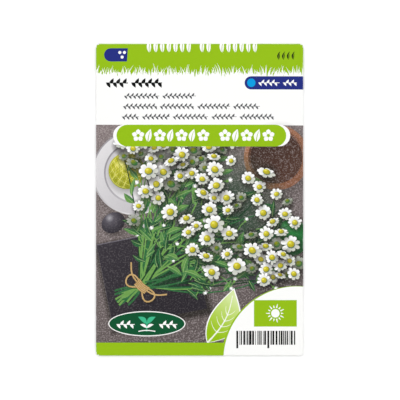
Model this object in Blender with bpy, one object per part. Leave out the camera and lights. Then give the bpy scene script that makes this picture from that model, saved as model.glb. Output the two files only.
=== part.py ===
"""A paper seed packet, lying on its back with its printed front up.

The packet is one sheet of coated paper. Its front panel carries two side flaps, a back
panel that folds up from the bottom edge and a closing flap that folds down from the top
edge. Inside lies a foil sachet, folded from one strip of film and sealed on three sides,
and inside the sachet lies a thin heap of fine seed.

Units are metres. X runs across the packet, Y runs up it and Z points out of its front.
The origin is the middle of the footprint, on the surface that the packet lies on.
"""

import math
import random

import bmesh
import bpy
from mathutils import Euler, Vector

# Driving dimensions of the packet
PACKET_WIDTH = 0.108
PACKET_HEIGHT = 0.1625
PAPER = 0.00015
LAP_GAP = 0.0001
FLAP_WIDTH = 0.014
FLAP_END_WIDTH = 0.004
FLAP_END_SLANT = 1.4
CLOSING_FLAP = 0.018
CLOSING_TAPER = 0.14
SHOULDER = 0.002
BACK_INSET = 0.0015

# Shares of the half width and of the reach to each end over which the back lies flat
FLAT_ACROSS = 0.6
FLAT_TO_TOP = 0.5
FLAT_TO_BOTTOM = 0.66

# Driving dimensions of the sachet and the seed in it
SACHET_WIDTH = 0.076
SACHET_HEIGHT = 0.106
SEAL = 0.008
FILM = 0.0001
FILM_GAP = 0.00008
CLEAR = 0.0003
HEAP_THICKNESS = 0.0013
HEAP_WIDTH = 0.043
HEAP_HEIGHT = 0.065
SEED_LENGTH = 0.0016
SEED_WIDTH = 0.00056
SEED_COUNT = 200
SEED_DRAW = 11
SEED_TILT = 0.05

# How fast the packet and the sachet thin out towards their edges, and how the heap fills
PACKET_SWELL_POWER = 2.6
SACHET_SWELL_POWER = 4
CORE_SHARE = 0.34
SEED_SPREAD = 0.95
SEED_ROOM = 0.55

# What follows from them
LAYER = PAPER + LAP_GAP
EDGE_DEPTH = 3 * LAYER
SIDE_RADIUS = (EDGE_DEPTH - LAYER) / 2
BOTTOM_RADIUS = EDGE_DEPTH / 2
TOP_RADIUS = (EDGE_DEPTH + LAYER) / 2
SIDE_X = PACKET_WIDTH / 2 - SIDE_RADIUS - PAPER / 2
BOTTOM_Y = -(PACKET_HEIGHT / 2 - BOTTOM_RADIUS - PAPER / 2)
TOP_Y = PACKET_HEIGHT / 2 - TOP_RADIUS - PAPER / 2
BELLY_Y = -0.006
EDGE_LIFT = 0.00055
WEB_DEPTH = HEAP_THICKNESS + 2 * CLEAR + FILM
SACHET_BASE = PAPER / 2 + CLEAR + FILM / 2
BELLY_DEPTH = 2 * SACHET_BASE + WEB_DEPTH

# How finely the sheets are divided
PANEL_COLUMNS = 16
PANEL_ROWS = 22
FLAP_COLUMNS = 3
CLOSING_ROWS = 4
FOLD_STEPS = 6


def clear_scene():
    """Empties the scene, so that only the packet is in it."""
    for thing in list(bpy.data.objects):
        bpy.data.objects.remove(thing, do_unlink=True)


def material(name, colour, roughness, metallic=0.0):
    """A plain Principled material of one colour."""
    made = bpy.data.materials.new(name)
    made.use_nodes = True
    shader = made.node_tree.nodes["Principled BSDF"]
    shader.inputs["Base Color"].default_value = (*colour, 1.0)
    shader.inputs["Roughness"].default_value = roughness
    shader.inputs["Metallic"].default_value = metallic
    return made


def smooth_step(value):
    """0 below 0, 1 above 1, and an S-shaped rise between them."""
    held = min(max(value, 0.0), 1.0)
    return held * held * (3 - 2 * held)


def up_share(y):
    """How far y is from the belly towards the top or bottom edge, from 0 to 1."""
    reach = TOP_Y - BELLY_Y if y > BELLY_Y else BELLY_Y - BOTTOM_Y
    return min(abs(y - BELLY_Y) / reach, 1.0)


def side_share(x):
    """How far x is from the middle towards a side fold, from 0 to 1."""
    return min(abs(x) / SIDE_X, 1.0)


def back_height(x, y):
    """Middle of the back panel: flat where the packet rests, and lifted along its edges."""
    side = smooth_step((side_share(x) - FLAT_ACROSS) / (1 - FLAT_ACROSS))
    if y > 0:
        end = smooth_step((y / TOP_Y - FLAT_TO_TOP) / (1 - FLAT_TO_TOP))
    else:
        end = smooth_step((y / BOTTOM_Y - FLAT_TO_BOTTOM) / (1 - FLAT_TO_BOTTOM))
    return PAPER / 2 + EDGE_LIFT * (1 - (1 - side) * (1 - end))


def depth(x, y):
    """Distance from the back panel to the front: a pillow that is full in the middle."""
    across = 1 - side_share(x) ** PACKET_SWELL_POWER
    along = 1 - up_share(y) ** PACKET_SWELL_POWER
    return EDGE_DEPTH + (BELLY_DEPTH - EDGE_DEPTH) * across * along


def front_height(x, y):
    """Middle of the front panel."""
    return back_height(x, y) + depth(x, y)


def spaced(start, end, count):
    """count + 1 values from start to end."""
    return [start + (end - start) * step / count for step in range(count + 1)]


class Sheet:
    """A surface of quads that grows from rows of points, and is given a thickness at the end."""

    def __init__(self):
        self.points = []
        self.quads = []

    def add(self, point):
        """Adds a point and returns its number."""
        self.points.append(point)
        return len(self.points) - 1

    def row(self, points):
        """Adds a row of points and returns their numbers."""
        return [self.add(point) for point in points]

    def join(self, first, second):
        """Fills the strip between two rows of as many points."""
        for left, right, up_right, up_left in zip(first, first[1:], second[1:], second):
            self.quads.append((left, right, up_right, up_left))

    def chain(self, rows):
        """Fills the strips between neighbouring rows."""
        for first, second in zip(rows, rows[1:]):
            self.join(first, second)

    def solid(self, name, thickness, finish):
        """The sheet as an object with an even thickness about its middle surface."""
        mesh = bpy.data.meshes.new(name)
        mesh.from_pydata(self.points, [], self.quads)
        shell = bmesh.new()
        shell.from_mesh(mesh)
        bmesh.ops.recalc_face_normals(shell, faces=shell.faces)
        shell.to_mesh(mesh)
        shell.free()
        mesh.shade_smooth()
        mesh.set_sharp_from_angle(angle=math.radians(50))
        made = bpy.data.objects.new(name, mesh)
        made.data.materials.append(finish)
        bpy.context.scene.collection.objects.link(made)
        wall = made.modifiers.new("Thickness", "SOLIDIFY")
        wall.thickness = thickness
        wall.offset = 0.0
        wall.use_even_offset = True
        return made


def fold(sheet, start, point_on_arc):
    """Rows of a half-turn fold that begins at the numbered row start."""
    rows = [start]
    for step in range(1, FOLD_STEPS + 1):
        angle = math.pi / 2 - math.pi * step / FOLD_STEPS
        rows.append(sheet.row(point_on_arc(angle)))
    sheet.chain(rows)
    return rows[-1]


def make_side_flap(sheet, edge, ys, side):
    """The flap behind one side of the front panel. Its ends are cut at a slant."""

    def arc(angle):
        return [
            (
                side * (SIDE_X + SIDE_RADIUS * math.cos(angle)),
                y,
                front_height(SIDE_X, y) + SIDE_RADIUS * (math.sin(angle) - 1),
            )
            for y in ys
        ]

    rows = [fold(sheet, edge, arc)]
    for column in range(1, FLAP_COLUMNS + 1):
        share = column / FLAP_COLUMNS
        points = []
        for y in ys:
            from_end = min(y - ys[0], ys[-1] - y)
            width = min(FLAP_WIDTH, FLAP_END_WIDTH + FLAP_END_SLANT * from_end)
            x = SIDE_X - width * share
            points.append((side * x, y, back_height(x, y) + LAYER))
        rows.append(sheet.row(points))
    sheet.chain(rows)


def make_envelope(finish):
    """The packet's one sheet of paper, folded."""
    sheet = Sheet()
    inner_x = PACKET_WIDTH / 2 - BACK_INSET
    inner_y = PACKET_HEIGHT / 2 - SHOULDER
    xs = [-SIDE_X, *spaced(-inner_x, inner_x, PANEL_COLUMNS), SIDE_X]
    ys = [BOTTOM_Y, *spaced(-inner_y, inner_y, PANEL_ROWS), TOP_Y]
    front = [sheet.row([(x, y, front_height(x, y)) for x in xs]) for y in ys]
    sheet.chain(front)

    for side, column in ((-1, 0), (1, -1)):
        edge = [row[column] for row in front[1:-1]]
        make_side_flap(sheet, edge, ys[1:-1], side)

    back_xs = xs[1:-1]

    def bottom_arc(angle):
        return [
            (
                x,
                BOTTOM_Y - BOTTOM_RADIUS * math.cos(angle),
                front_height(x, BOTTOM_Y) + BOTTOM_RADIUS * (math.sin(angle) - 1),
            )
            for x in back_xs
        ]

    back = [fold(sheet, front[0][1:-1], bottom_arc)]
    back_top = PACKET_HEIGHT / 2 - 2 * SHOULDER
    for y in spaced(BOTTOM_Y, back_top, PANEL_ROWS)[1:]:
        back.append(sheet.row([(x, y, back_height(x, y)) for x in back_xs]))
    sheet.chain(back)

    def top_arc(angle):
        return [
            (
                x,
                TOP_Y + TOP_RADIUS * math.cos(angle),
                front_height(x, TOP_Y) + TOP_RADIUS * (math.sin(angle) - 1),
            )
            for x in back_xs
        ]

    closing = [fold(sheet, front[-1][1:-1], top_arc)]
    for row in range(1, CLOSING_ROWS + 1):
        share = row / CLOSING_ROWS
        y = TOP_Y - (CLOSING_FLAP - TOP_RADIUS) * share
        narrowing = 1 - CLOSING_TAPER * share * share
        points = []
        for x in back_xs:
            across = x * narrowing
            points.append((across, y, back_height(across, y) - LAYER))
        closing.append(sheet.row(points))
    sheet.chain(closing)
    return sheet.solid("paper_envelope", PAPER, finish)


def sachet_swell(x, y):
    """How full the sachet is: 1 over the seed, and 0 from the inner edge of the seals out."""
    across = abs(x) / (SACHET_WIDTH / 2 - SEAL)
    along = abs(y - BELLY_Y) / (SACHET_HEIGHT / 2 - SEAL)
    full_across = max(1 - across**SACHET_SWELL_POWER, 0.0)
    full_along = max(1 - along**SACHET_SWELL_POWER, 0.0)
    return full_across * full_along


def sachet_back(x, y):
    """Middle of the sachet's back web, which lies on the back panel."""
    return back_height(x, y) + SACHET_BASE


def sachet_front(x, y):
    """Middle of the sachet's front web, which the seed lifts."""
    closed = FILM + FILM_GAP
    return sachet_back(x, y) + closed + (WEB_DEPTH - closed) * sachet_swell(x, y)


def make_sachet(finish):
    """The foil sachet: one strip of film, folded at the bottom and sealed on three sides."""
    sheet = Sheet()
    half = SACHET_WIDTH / 2
    low = BELLY_Y - SACHET_HEIGHT / 2
    high = BELLY_Y + SACHET_HEIGHT / 2
    xs = [-half, *spaced(-half + SEAL, half - SEAL, 14), half]
    ys = [low, *spaced(low + SEAL, high - SEAL, 18), high]
    web = [sheet.row([(x, y, sachet_front(x, y)) for x in xs]) for y in ys]
    sheet.chain(web)
    radius = (FILM + FILM_GAP) / 2

    def arc(angle):
        return [
            (
                x,
                low - radius * math.cos(angle),
                sachet_front(x, low) + radius * (math.sin(angle) - 1),
            )
            for x in xs
        ]

    rows = [fold(sheet, web[0], arc)]
    for y in ys[1:]:
        rows.append(sheet.row([(x, y, sachet_back(x, y)) for x in xs]))
    sheet.chain(rows)
    return sheet.solid("foil_sachet", FILM, finish)


def heap_ceiling(x, y):
    """Highest that a seed may reach under the sachet's front web."""
    return sachet_front(x, y) - FILM / 2 - CLEAR


def heap_floor(x, y):
    """Lowest that a seed may reach above the sachet's back web."""
    return sachet_back(x, y) + FILM / 2 + CLEAR


def seed_mesh():
    """A seed: slim, with four sides, and pointed at both ends."""
    sides = 4
    rings = [(-0.2, 0.9), (0.22, 1.0)]
    points = [(-SEED_LENGTH / 2, 0.0, 0.0)]
    for along, girth in rings:
        for corner in range(sides):
            angle = 2 * math.pi * corner / sides
            radius = girth * SEED_WIDTH / 2
            points.append(
                (along * SEED_LENGTH, radius * math.cos(angle), radius * math.sin(angle))
            )
    points.append((SEED_LENGTH / 2, 0.0, 0.0))
    last = len(points) - 1
    faces = []
    for corner in range(sides):
        after = (corner + 1) % sides
        first, second = 1 + corner, 1 + after
        faces.append((0, second, first))
        faces.append((first, second, second + sides, first + sides))
        faces.append((first + sides, second + sides, last))
    mesh = bpy.data.meshes.new("seed")
    mesh.from_pydata(points, [], faces)
    mesh.update()
    return mesh


def make_heap_core(finish, middle, half_thickness):
    """The packed middle of the heap: a flat, smooth lens."""
    bpy.ops.mesh.primitive_uv_sphere_add(segments=28, ring_count=14, radius=1)
    core = bpy.context.object
    core.name = "seed_heap"
    core.data.materials.append(finish)
    for vertex in core.data.vertices:
        vertex.co.x *= HEAP_WIDTH / 2
        vertex.co.y = BELLY_Y + vertex.co.y * HEAP_HEIGHT / 2
        vertex.co.z = middle + vertex.co.z * half_thickness
    core.data.update()
    return core


def make_heap(finish):
    """The seed, as one heap: a low core with single seeds that stand out of it all over."""
    middle = (heap_floor(0, BELLY_Y) + heap_ceiling(0, BELLY_Y)) / 2
    half_thickness = HEAP_THICKNESS * CORE_SHARE
    heap = make_heap_core(finish, middle, half_thickness)
    draw = random.Random(SEED_DRAW)
    loose = bpy.data.collections.new("loose seeds")
    bpy.context.scene.collection.children.link(loose)
    shape = seed_mesh()
    golden_turn = math.pi * (3 - math.sqrt(5))
    for number in range(SEED_COUNT):
        share = SEED_SPREAD * math.sqrt((number + 0.5) / SEED_COUNT)
        angle = number * golden_turn
        x = HEAP_WIDTH / 2 * share * math.cos(angle)
        y = BELLY_Y + HEAP_HEIGHT / 2 * share * math.sin(angle)
        side = 1 if number % 3 else -1
        surface = middle + side * half_thickness * math.sqrt(1 - share**2)
        low = heap_floor(x, y) + SEED_WIDTH * SEED_ROOM
        high = heap_ceiling(x, y) - SEED_WIDTH * SEED_ROOM
        seed = bpy.data.objects.new(f"seed_{number:03d}", shape)
        roll = draw.uniform(0, 2 * math.pi)
        tilt = draw.uniform(-SEED_TILT, SEED_TILT)
        seed.rotation_euler = Euler((roll, tilt, draw.uniform(0, math.pi)))
        seed.location = Vector((x, y, min(max(surface, low), high)))
        loose.objects.link(seed)

    union = heap.modifiers.new("Seeds", "BOOLEAN")
    union.operation = "UNION"
    union.operand_type = "COLLECTION"
    union.collection = loose
    union.solver = "EXACT"
    bpy.context.view_layer.objects.active = heap
    bpy.ops.object.modifier_apply(modifier=union.name)
    for seed in list(loose.objects):
        bpy.data.objects.remove(seed, do_unlink=True)
    bpy.data.collections.remove(loose)
    return heap


def main():
    """Builds the packet with what it holds."""
    clear_scene()
    make_envelope(material("printed coated paper", (0.42, 0.46, 0.31), 0.4))
    make_sachet(material("laminated foil", (0.78, 0.79, 0.8), 0.28, 0.9))
    make_heap(material("seed husk", (0.21, 0.14, 0.055), 0.7))


main()
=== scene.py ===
"""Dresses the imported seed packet: a folded sheet of printed, coated paper, the foil sachet
inside it and the seed inside that, on a plain floor in soft light.

The print is drawn as flat shapes in millimetres, on the unfolded sheet, with X across the
front and Y up it. One triangulation holds the outlines of all the shapes, so each ink ends
at a true edge of the mesh, and the sheet is folded afterwards.
"""

import logging
import math
from collections.abc import Callable, Sequence
from dataclasses import dataclass, field, replace
from enum import Enum

import bpy
import numpy as np
from bpy.types import Material, Mesh, Node, NodeSocket, NodeTree, Object
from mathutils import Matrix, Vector
from mathutils.geometry import delaunay_2d_cdt

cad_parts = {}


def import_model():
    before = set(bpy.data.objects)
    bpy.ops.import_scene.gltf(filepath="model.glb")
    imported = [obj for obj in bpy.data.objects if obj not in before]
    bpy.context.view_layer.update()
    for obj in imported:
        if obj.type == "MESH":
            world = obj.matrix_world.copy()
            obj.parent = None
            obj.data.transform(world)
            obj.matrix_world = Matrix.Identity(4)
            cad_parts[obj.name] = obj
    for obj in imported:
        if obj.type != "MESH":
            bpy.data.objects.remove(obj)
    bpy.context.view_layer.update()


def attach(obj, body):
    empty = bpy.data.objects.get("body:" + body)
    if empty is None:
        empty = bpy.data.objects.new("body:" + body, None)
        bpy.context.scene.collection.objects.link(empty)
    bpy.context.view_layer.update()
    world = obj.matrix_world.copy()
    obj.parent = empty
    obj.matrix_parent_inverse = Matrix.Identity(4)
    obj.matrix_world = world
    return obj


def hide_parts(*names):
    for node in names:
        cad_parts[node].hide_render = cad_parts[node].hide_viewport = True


LOG = logging.getLogger("seed_packet")
MM = 0.001
# How much light plain white paper sends back. Every ink is laid over it.
PAPER_REFLECTANCE = 0.86
# Places of the front's layout that more than one print shares, in millimetres.
WHITE_CORNER = (50.7, -83.5)
PICTURE_FOOT = -74.46
FOOT_BAND_END = 12.4
BEYOND_EDGE = 58.0

Array = np.ndarray
Place = tuple[float, float]
Line = tuple[Place, Place]
Fold = Callable[[Array, Array], Array]


class Ink(Enum):
    """The inks of the print, as sRGB hex values."""

    PAPER = "FDFDFB"
    LIME = "95BF15"
    LIME_PALE = "D9EAA8"
    NAVY = "242F80"
    CYAN = "009CE0"
    BLACK = "121212"
    GREY = "55565A"
    PINE = "0B5230"
    MINT = "3FB98B"
    STONE_LIGHT = "8B7F7E"
    STONE_DEEP = "574E4D"
    CHARCOAL = "26232A"
    CHARCOAL_LIGHT = "37333A"
    CHARCOAL_PALE = "6B6770"
    CLAY_LIGHT = "B5805F"
    CLAY = "8A5B41"
    CLAY_DARK = "4E3226"
    CLAY_DEEP = "35221A"
    GLAZE = "E9E7E8"
    GLAZE_SHADE = "C4C1C5"
    GLAZE_DARK = "8F8B90"
    TWINE = "C9A66B"
    TWINE_DARK = "6E5128"
    BUTTER_PALE = "EFEB8A"
    BUTTER = "D8D23A"
    BUTTER_DARK = "8E9418"
    BALL_GREEN = "2F9A45"
    BALL_GREEN_DARK = "14572A"
    LEAF = "2E6B3C"
    LEAF_LIGHT = "6FA04F"
    LEAF_DARK = "143B22"
    LEAF_RIB = "A9C77E"
    PETAL = "FFFFFF"
    PETAL_SHADE = "D3D5CB"
    PETAL_DEEP = "AEB2A8"
    PETAL_RIM = "7F8574"
    POLLEN = "EBDD2E"
    POLLEN_DARK = "9A9413"
    POLLEN_TIP = "F6F07A"
    SHADOW = "15140F"


class Blend(Enum):
    """How a tone changes over its shape."""

    FLAT = "flat"
    LINEAR = "linear"
    RADIAL = "radial"


def srgb(code: str) -> Array:
    """The three sRGB values of a hex code, from 0 to 1."""
    return np.array([int(code[at : at + 2], 16) for at in (0, 2, 4)]) / 255.0


def linear(values: Array) -> Array:
    """Linear light from sRGB values: a short straight foot, then a power of 2.4."""
    values = np.asarray(values, float)
    return np.where(values <= 0.04045, values / 12.92, ((values + 0.055) / 1.055) ** 2.4)


def hex_linear(code: str) -> tuple[float, float, float, float]:
    """A hex code as an opaque linear colour for a shader's socket."""
    return (*(float(value) for value in linear(srgb(code))), 1.0)


@dataclass(frozen=True)
class Tone:
    """An ink, or a change from one ink to another, and how much of the paper it covers.

    A linear tone changes from anchor along reach. A radial tone changes from anchor out to
    a distance of reach[0]. grain is how much the speckle of a printed ground shows.
    """

    near: Ink
    far: Ink | None = None
    blend: Blend = Blend.FLAT
    anchor: Place = (0.0, 0.0)
    reach: Place = (1.0, 0.0)
    cover: tuple[float, float] = (1.0, 1.0)
    grain: float = 0.0

    def at(self, points: Array) -> tuple[Array, Array]:
        """The colour and the cover at each point.

        Args:
            points: N by 2 places on the sheet, in millimetres.

        Returns:
            N by 3 sRGB values and N by 1 shares of cover.
        """
        offset = points - np.array(self.anchor)
        if self.blend is Blend.LINEAR:
            reach = np.array(self.reach)
            share = offset @ reach / (reach @ reach)
        elif self.blend is Blend.RADIAL:
            share = np.hypot(offset[:, 0], offset[:, 1]) / self.reach[0]
        else:
            share = np.zeros(len(points))
        share = np.clip(share, 0.0, 1.0)[:, None]
        near, far = srgb(self.near.value), srgb((self.far or self.near).value)
        cover = self.cover[0] + (self.cover[1] - self.cover[0]) * share
        return near + (far - near) * share, cover


def ellipse(
    x: float, y: float, half_x: float, half_y: float, turn: float = 0.0, count: int = 28
) -> Array:
    """An ellipse about (x, y): half widths times cosine and sine, turned by turn radians.

    Args:
        x, y: Its middle.
        half_x, half_y: Its half widths before the turn.
        turn: The turn to the left, in radians.
        count: How many points.

    Returns:
        The points in order.
    """
    angle = np.linspace(0, 2 * np.pi, count, endpoint=False)
    along, across = half_x * np.cos(angle), half_y * np.sin(angle)
    points_x = x + along * np.cos(turn) - across * np.sin(turn)
    points_y = y + along * np.sin(turn) + across * np.cos(turn)
    return np.stack([points_x, points_y], 1)


def box(left: float, low: float, right: float, high: float) -> Array:
    """An upright rectangle."""
    return np.array([(left, low), (right, low), (right, high), (left, high)], float)


def capsule(left: float, low: float, right: float, high: float, round_right: bool = True) -> Array:
    """A bar with a half-round left end, and a right end that is half round or square.

    Args:
        left, low, right, high: The box that it fills.
        round_right: Whether the right end is round.

    Returns:
        Its outline.
    """
    radius, middle = (high - low) / 2, (high + low) / 2
    angle = np.linspace(np.pi / 2, 3 * np.pi / 2, 13)
    start = np.stack([left + radius + radius * np.cos(angle), middle + radius * np.sin(angle)], 1)
    if not round_right:
        return np.concatenate([start, [(right, low), (right, high)]])
    end = np.stack([right - radius - radius * np.cos(angle), middle - radius * np.sin(angle)], 1)
    return np.concatenate([start, end])


def almond(
    base: Place, tip: Place, width: float, bend: float = 0.0, fullness: float = 1.0, count: int = 7
) -> Array:
    """A leaf from base to tip: half its width times a sine, about a middle line that bends.

    The middle line bows sideways by bend times the leaf's length times sine of pi t.
    fullness moves the widest place: above 1 towards the tip, below 1 towards the base.

    Args:
        base, tip: Its two ends.
        width: Its greatest width.
        bend: The bow, as a share of the length.
        fullness: Where it is widest, 1 for the middle.
        count: How many points on each side.

    Returns:
        Its outline.
    """
    start, end = np.array(base, float), np.array(tip, float)
    run = end - start
    length = np.hypot(*run)
    ahead = run / length
    aside = np.array([-ahead[1], ahead[0]])
    t = np.linspace(0, 1, count + 2)
    middle = start + run * t[:, None] + aside * (bend * length * np.sin(np.pi * t))[:, None]
    half = (width / 2 * np.sin(np.pi * t**fullness))[:, None]
    left, right = middle + aside * half, middle - aside * half
    return np.concatenate([middle[:1], right[1:-1], middle[-1:], left[-2:0:-1]])


def ribbon(points: Array, widths: Sequence[float] | Array) -> Array:
    """A line with a width: its points moved half a width to each side of its run.

    Args:
        points: The middle line.
        widths: The width at each of its points.

    Returns:
        Its outline.
    """
    run = np.gradient(points, axis=0)
    run /= np.hypot(run[:, 0], run[:, 1])[:, None]
    aside = np.stack([-run[:, 1], run[:, 0]], 1) * (np.asarray(widths) / 2)[:, None]
    return np.concatenate([points - aside, (points + aside)[::-1]])


def arc_line(start: Place, end: Place, bow: float, count: int = 8) -> Array:
    """Points from start to end that bow sideways by bow times the distance.

    Args:
        start, end: Its two ends.
        bow: The bow, as a share of the distance.
        count: How many points.

    Returns:
        The points in order.
    """
    first, last = np.array(start, float), np.array(end, float)
    run = last - first
    aside = np.array([-run[1], run[0]])
    t = np.linspace(0, 1, count)[:, None]
    return first + run * t + aside * bow * np.sin(np.pi * t)


def signed_area(outline: Array) -> float:
    """Area inside an outline, positive where its corners run to the left."""
    x, y = outline[:, 0], outline[:, 1]
    return float((x * np.roll(y, -1) - y * np.roll(x, -1)).sum() / 2)


def refined(outline: Array, step: float) -> Array:
    """An outline with points added, evenly, on each side longer than step.

    A long side without them would run straight through the air where the paper curves.

    Args:
        outline: The corners in order.
        step: The longest side to leave.

    Returns:
        The corners with the added points.
    """
    run = np.roll(outline, -1, axis=0) - outline
    parts = np.maximum(np.ceil(np.hypot(run[:, 0], run[:, 1]) / step), 1).astype(int)
    first = np.repeat(np.cumsum(parts) - parts, parts)
    share = (np.arange(parts.sum()) - first) / np.repeat(parts, parts)
    return np.repeat(outline, parts, axis=0) + np.repeat(run, parts, axis=0) * share[:, None]


def inside(points: Array, outline: Array) -> Array:
    """Which points lie inside an outline: those whose ray to +X crosses it an odd time.

    Args:
        points: N by 2 places.
        outline: The corners in order.

    Returns:
        N truth values.
    """
    start, end = outline, np.roll(outline, -1, axis=0)
    x, y = points[:, :1], points[:, 1:]
    spans = (start[:, 1] > y) != (end[:, 1] > y)
    rise = np.where(end[:, 1] == start[:, 1], 1.0, end[:, 1] - start[:, 1])
    meets = start[:, 0] + (y - start[:, 1]) * (end[:, 0] - start[:, 0]) / rise
    return (spans & (x < meets)).sum(1) % 2 == 1


@dataclass
class Artwork:
    """A stack of flat shapes. A later shape is printed over an earlier one."""

    outlines: list[Array] = field(default_factory=list)
    tones: list[Tone] = field(default_factory=list)

    def add(self, outline: Array, tone: Tone) -> None:
        """Prints a shape over all that is there. Its corners are kept in left-hand order."""
        self.outlines.append(outline if signed_area(outline) > 0 else outline[::-1])
        self.tones.append(tone)

    def flat(self, outline: Array, ink: Ink, grain: float = 0.0) -> None:
        """Prints a shape in one ink."""
        self.add(outline, Tone(ink, grain=grain))

    def curve(
        self, start: Place, end: Place, bow: float, count: int, width: float, ink: Ink
    ) -> None:
        """Prints a bowed line of one width in one ink."""
        self.flat(ribbon(arc_line(start, end, bow, count), [width] * count), ink)

    def turned_over(self, middle: float) -> "Artwork":
        """The same print turned half round about (0, middle), as a folded panel needs it.

        Args:
            middle: The height to turn about.

        Returns:
            The turned print.
        """
        made = Artwork()
        for outline, tone in zip(self.outlines, self.tones):
            anchor = (-tone.anchor[0], 2 * middle - tone.anchor[1])
            reach = tone.reach
            if tone.blend is Blend.LINEAR:
                reach = (-reach[0], -reach[1])
            made.add(np.array([0, 2 * middle]) - outline, replace(tone, anchor=anchor, reach=reach))
        return made


@dataclass(frozen=True)
class FoldedSheet:
    """The folds of the packet's one sheet, in millimetres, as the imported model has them.

    The back panel starts to lift at a share of the way to each edge, the values named
    lift_from. A wave is radians a millimetre along X and along Y, and its start.
    """

    width: float = 108.0
    height: float = 162.5
    paper: float = 0.15
    lap_gap: float = 0.1
    flap_width: float = 14.0
    closing_flap: float = 18.0
    shoulder: float = 2.0
    back_inset: float = 1.5
    belly_y: float = -6.0
    edge_lift: float = 0.55
    belly_depth: float = 2.85
    side_lift_from: float = 0.6
    top_lift_from: float = 0.5
    foot_lift_from: float = 0.66
    swell_power: float = 2.6
    sachet_half: tuple[float, float] = (39.5, 54.5)
    sachet_slope: float = 3.0
    dip: float = 0.05
    waves: tuple[tuple[float, float, float], ...] = (
        (0.11, 0.07, 1.3), (-0.06, 0.13, 0.4), (0.17, -0.09, 2.1),
    )
    wave_height: float = 0.018
    border_power: int = 8

    @property
    def layer(self) -> float:
        """Distance between the middles of two papers that lie on each other."""
        return self.paper + self.lap_gap

    @property
    def edge_depth(self) -> float:
        """Distance between the front and the back panel along the edges."""
        return 3 * self.layer

    @property
    def side_radius(self) -> float:
        """Radius of the side folds."""
        return (self.edge_depth - self.layer) / 2

    @property
    def bottom_radius(self) -> float:
        """Radius of the bottom fold."""
        return self.edge_depth / 2

    @property
    def top_radius(self) -> float:
        """Radius of the top fold, which closes over one layer more."""
        return (self.edge_depth + self.layer) / 2

    @property
    def side_x(self) -> float:
        """Where the side folds begin."""
        return self.width / 2 - self.side_radius - self.paper / 2

    @property
    def bottom_y(self) -> float:
        """Where the bottom fold begins."""
        return -(self.height / 2 - self.bottom_radius - self.paper / 2)

    @property
    def top_y(self) -> float:
        """Where the top fold begins."""
        return self.height / 2 - self.top_radius - self.paper / 2

    @staticmethod
    def smooth_step(value: Array) -> Array:
        """0 below 0, 1 above 1, and an S-shaped rise between them."""
        held = np.clip(value, 0.0, 1.0)
        return held * held * (3 - 2 * held)

    def rise(self, share: Array, start: float) -> Array:
        """The S-shaped rise from 0 where share is start to 1 where it is 1."""
        return self.smooth_step((share - start) / (1 - start))

    def back_height(self, x: Array, y: Array) -> Array:
        """Middle of the back panel: flat in the belly and lifted along its edges.

        The lift is an S-shaped rise from a share of the way to each edge, up to that edge.

        Args:
            x, y: Places on the packet.

        Returns:
            The heights.
        """
        side = self.rise(np.minimum(np.abs(x) / self.side_x, 1), self.side_lift_from)
        upper = self.rise(y / self.top_y, self.top_lift_from)
        lower = self.rise(y / self.bottom_y, self.foot_lift_from)
        end = np.where(y > 0, upper, lower)
        return self.paper / 2 + self.edge_lift * (1 - (1 - side) * (1 - end))

    def depth(self, x: Array, y: Array) -> Array:
        """From the back panel to the front.

        It is full at the belly and falls to the edges by a power of the share of the way.

        Args:
            x, y: Places on the packet.

        Returns:
            The distances.
        """
        reach = np.where(y > self.belly_y, self.top_y - self.belly_y, self.belly_y - self.bottom_y)
        up = np.minimum(np.abs(y - self.belly_y) / reach, 1.0)
        across = np.minimum(np.abs(x) / self.side_x, 1.0)
        swell = (1 - across**self.swell_power) * (1 - up**self.swell_power)
        return self.edge_depth + (self.belly_depth - self.edge_depth) * swell

    def relief(self, x: Array, y: Array) -> Array:
        """How far the front panel's paper dips.

        It dips outside the sachet, and as much again along the sachet's outline. Over that
        lie faint waves, each a sine of a slanted distance. All of it dies out at the edges.

        Args:
            x, y: Places on the packet.

        Returns:
            The dips, which are 0 or below.
        """
        half_x, half_y = self.sachet_half
        inside_x = self.smooth_step((half_x - np.abs(x)) / self.sachet_slope)
        inside_y = self.smooth_step((half_y - np.abs(y - self.belly_y)) / self.sachet_slope)
        inner = inside_x * inside_y
        edge = 4 * inner * (1 - inner)
        waves = sum(np.sin(per_x * x + per_y * y + start) for per_x, per_y, start in self.waves)
        border = 1 - np.minimum(np.abs(x) / self.side_x, 1) ** self.border_power
        border = border * (1 - np.minimum(np.abs(y) / self.top_y, 1) ** self.border_power)
        dip = self.dip * (1 - inner) + self.dip * edge
        return -(dip + self.wave_height * (len(self.waves) + waves)) * border

    def front_height(self, x: Array, y: Array) -> Array:
        """Middle of the front panel."""
        return self.back_height(x, y) + self.depth(x, y) + self.relief(x, y)

    def fold_front(self, u: Array, v: Array) -> Array:
        """The front panel with its side folds and side flaps, from the flat sheet.

        Up to side_x the sheet is the panel. Then it goes round half a circle, and what is
        left of its width comes back behind the panel, a lap above the back panel.

        Args:
            u, v: Places on the flat sheet.

        Returns:
            N by 3 points of the folded sheet.
        """
        side, away = np.sign(u), np.abs(u) - self.side_x
        turn = np.pi / 2 - np.clip(away / self.side_radius, 0, np.pi)
        behind = np.maximum(away - np.pi * self.side_radius, 0.0)
        edge = self.front_height(np.full_like(u, self.side_x), v)
        x_fold = side * (self.side_x + self.side_radius * np.cos(turn))
        x_flap = side * (self.side_x - behind)
        on_panel, on_fold = away <= 0, behind <= 0
        x = np.where(on_panel, u, np.where(on_fold, x_fold, x_flap))
        z = np.where(
            on_panel,
            self.front_height(u, v),
            np.where(
                on_fold,
                edge + self.side_radius * (np.sin(turn) - 1),
                self.back_height(x_flap, v) + self.layer,
            ),
        )
        return np.stack([x, v, z], 1)

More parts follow.
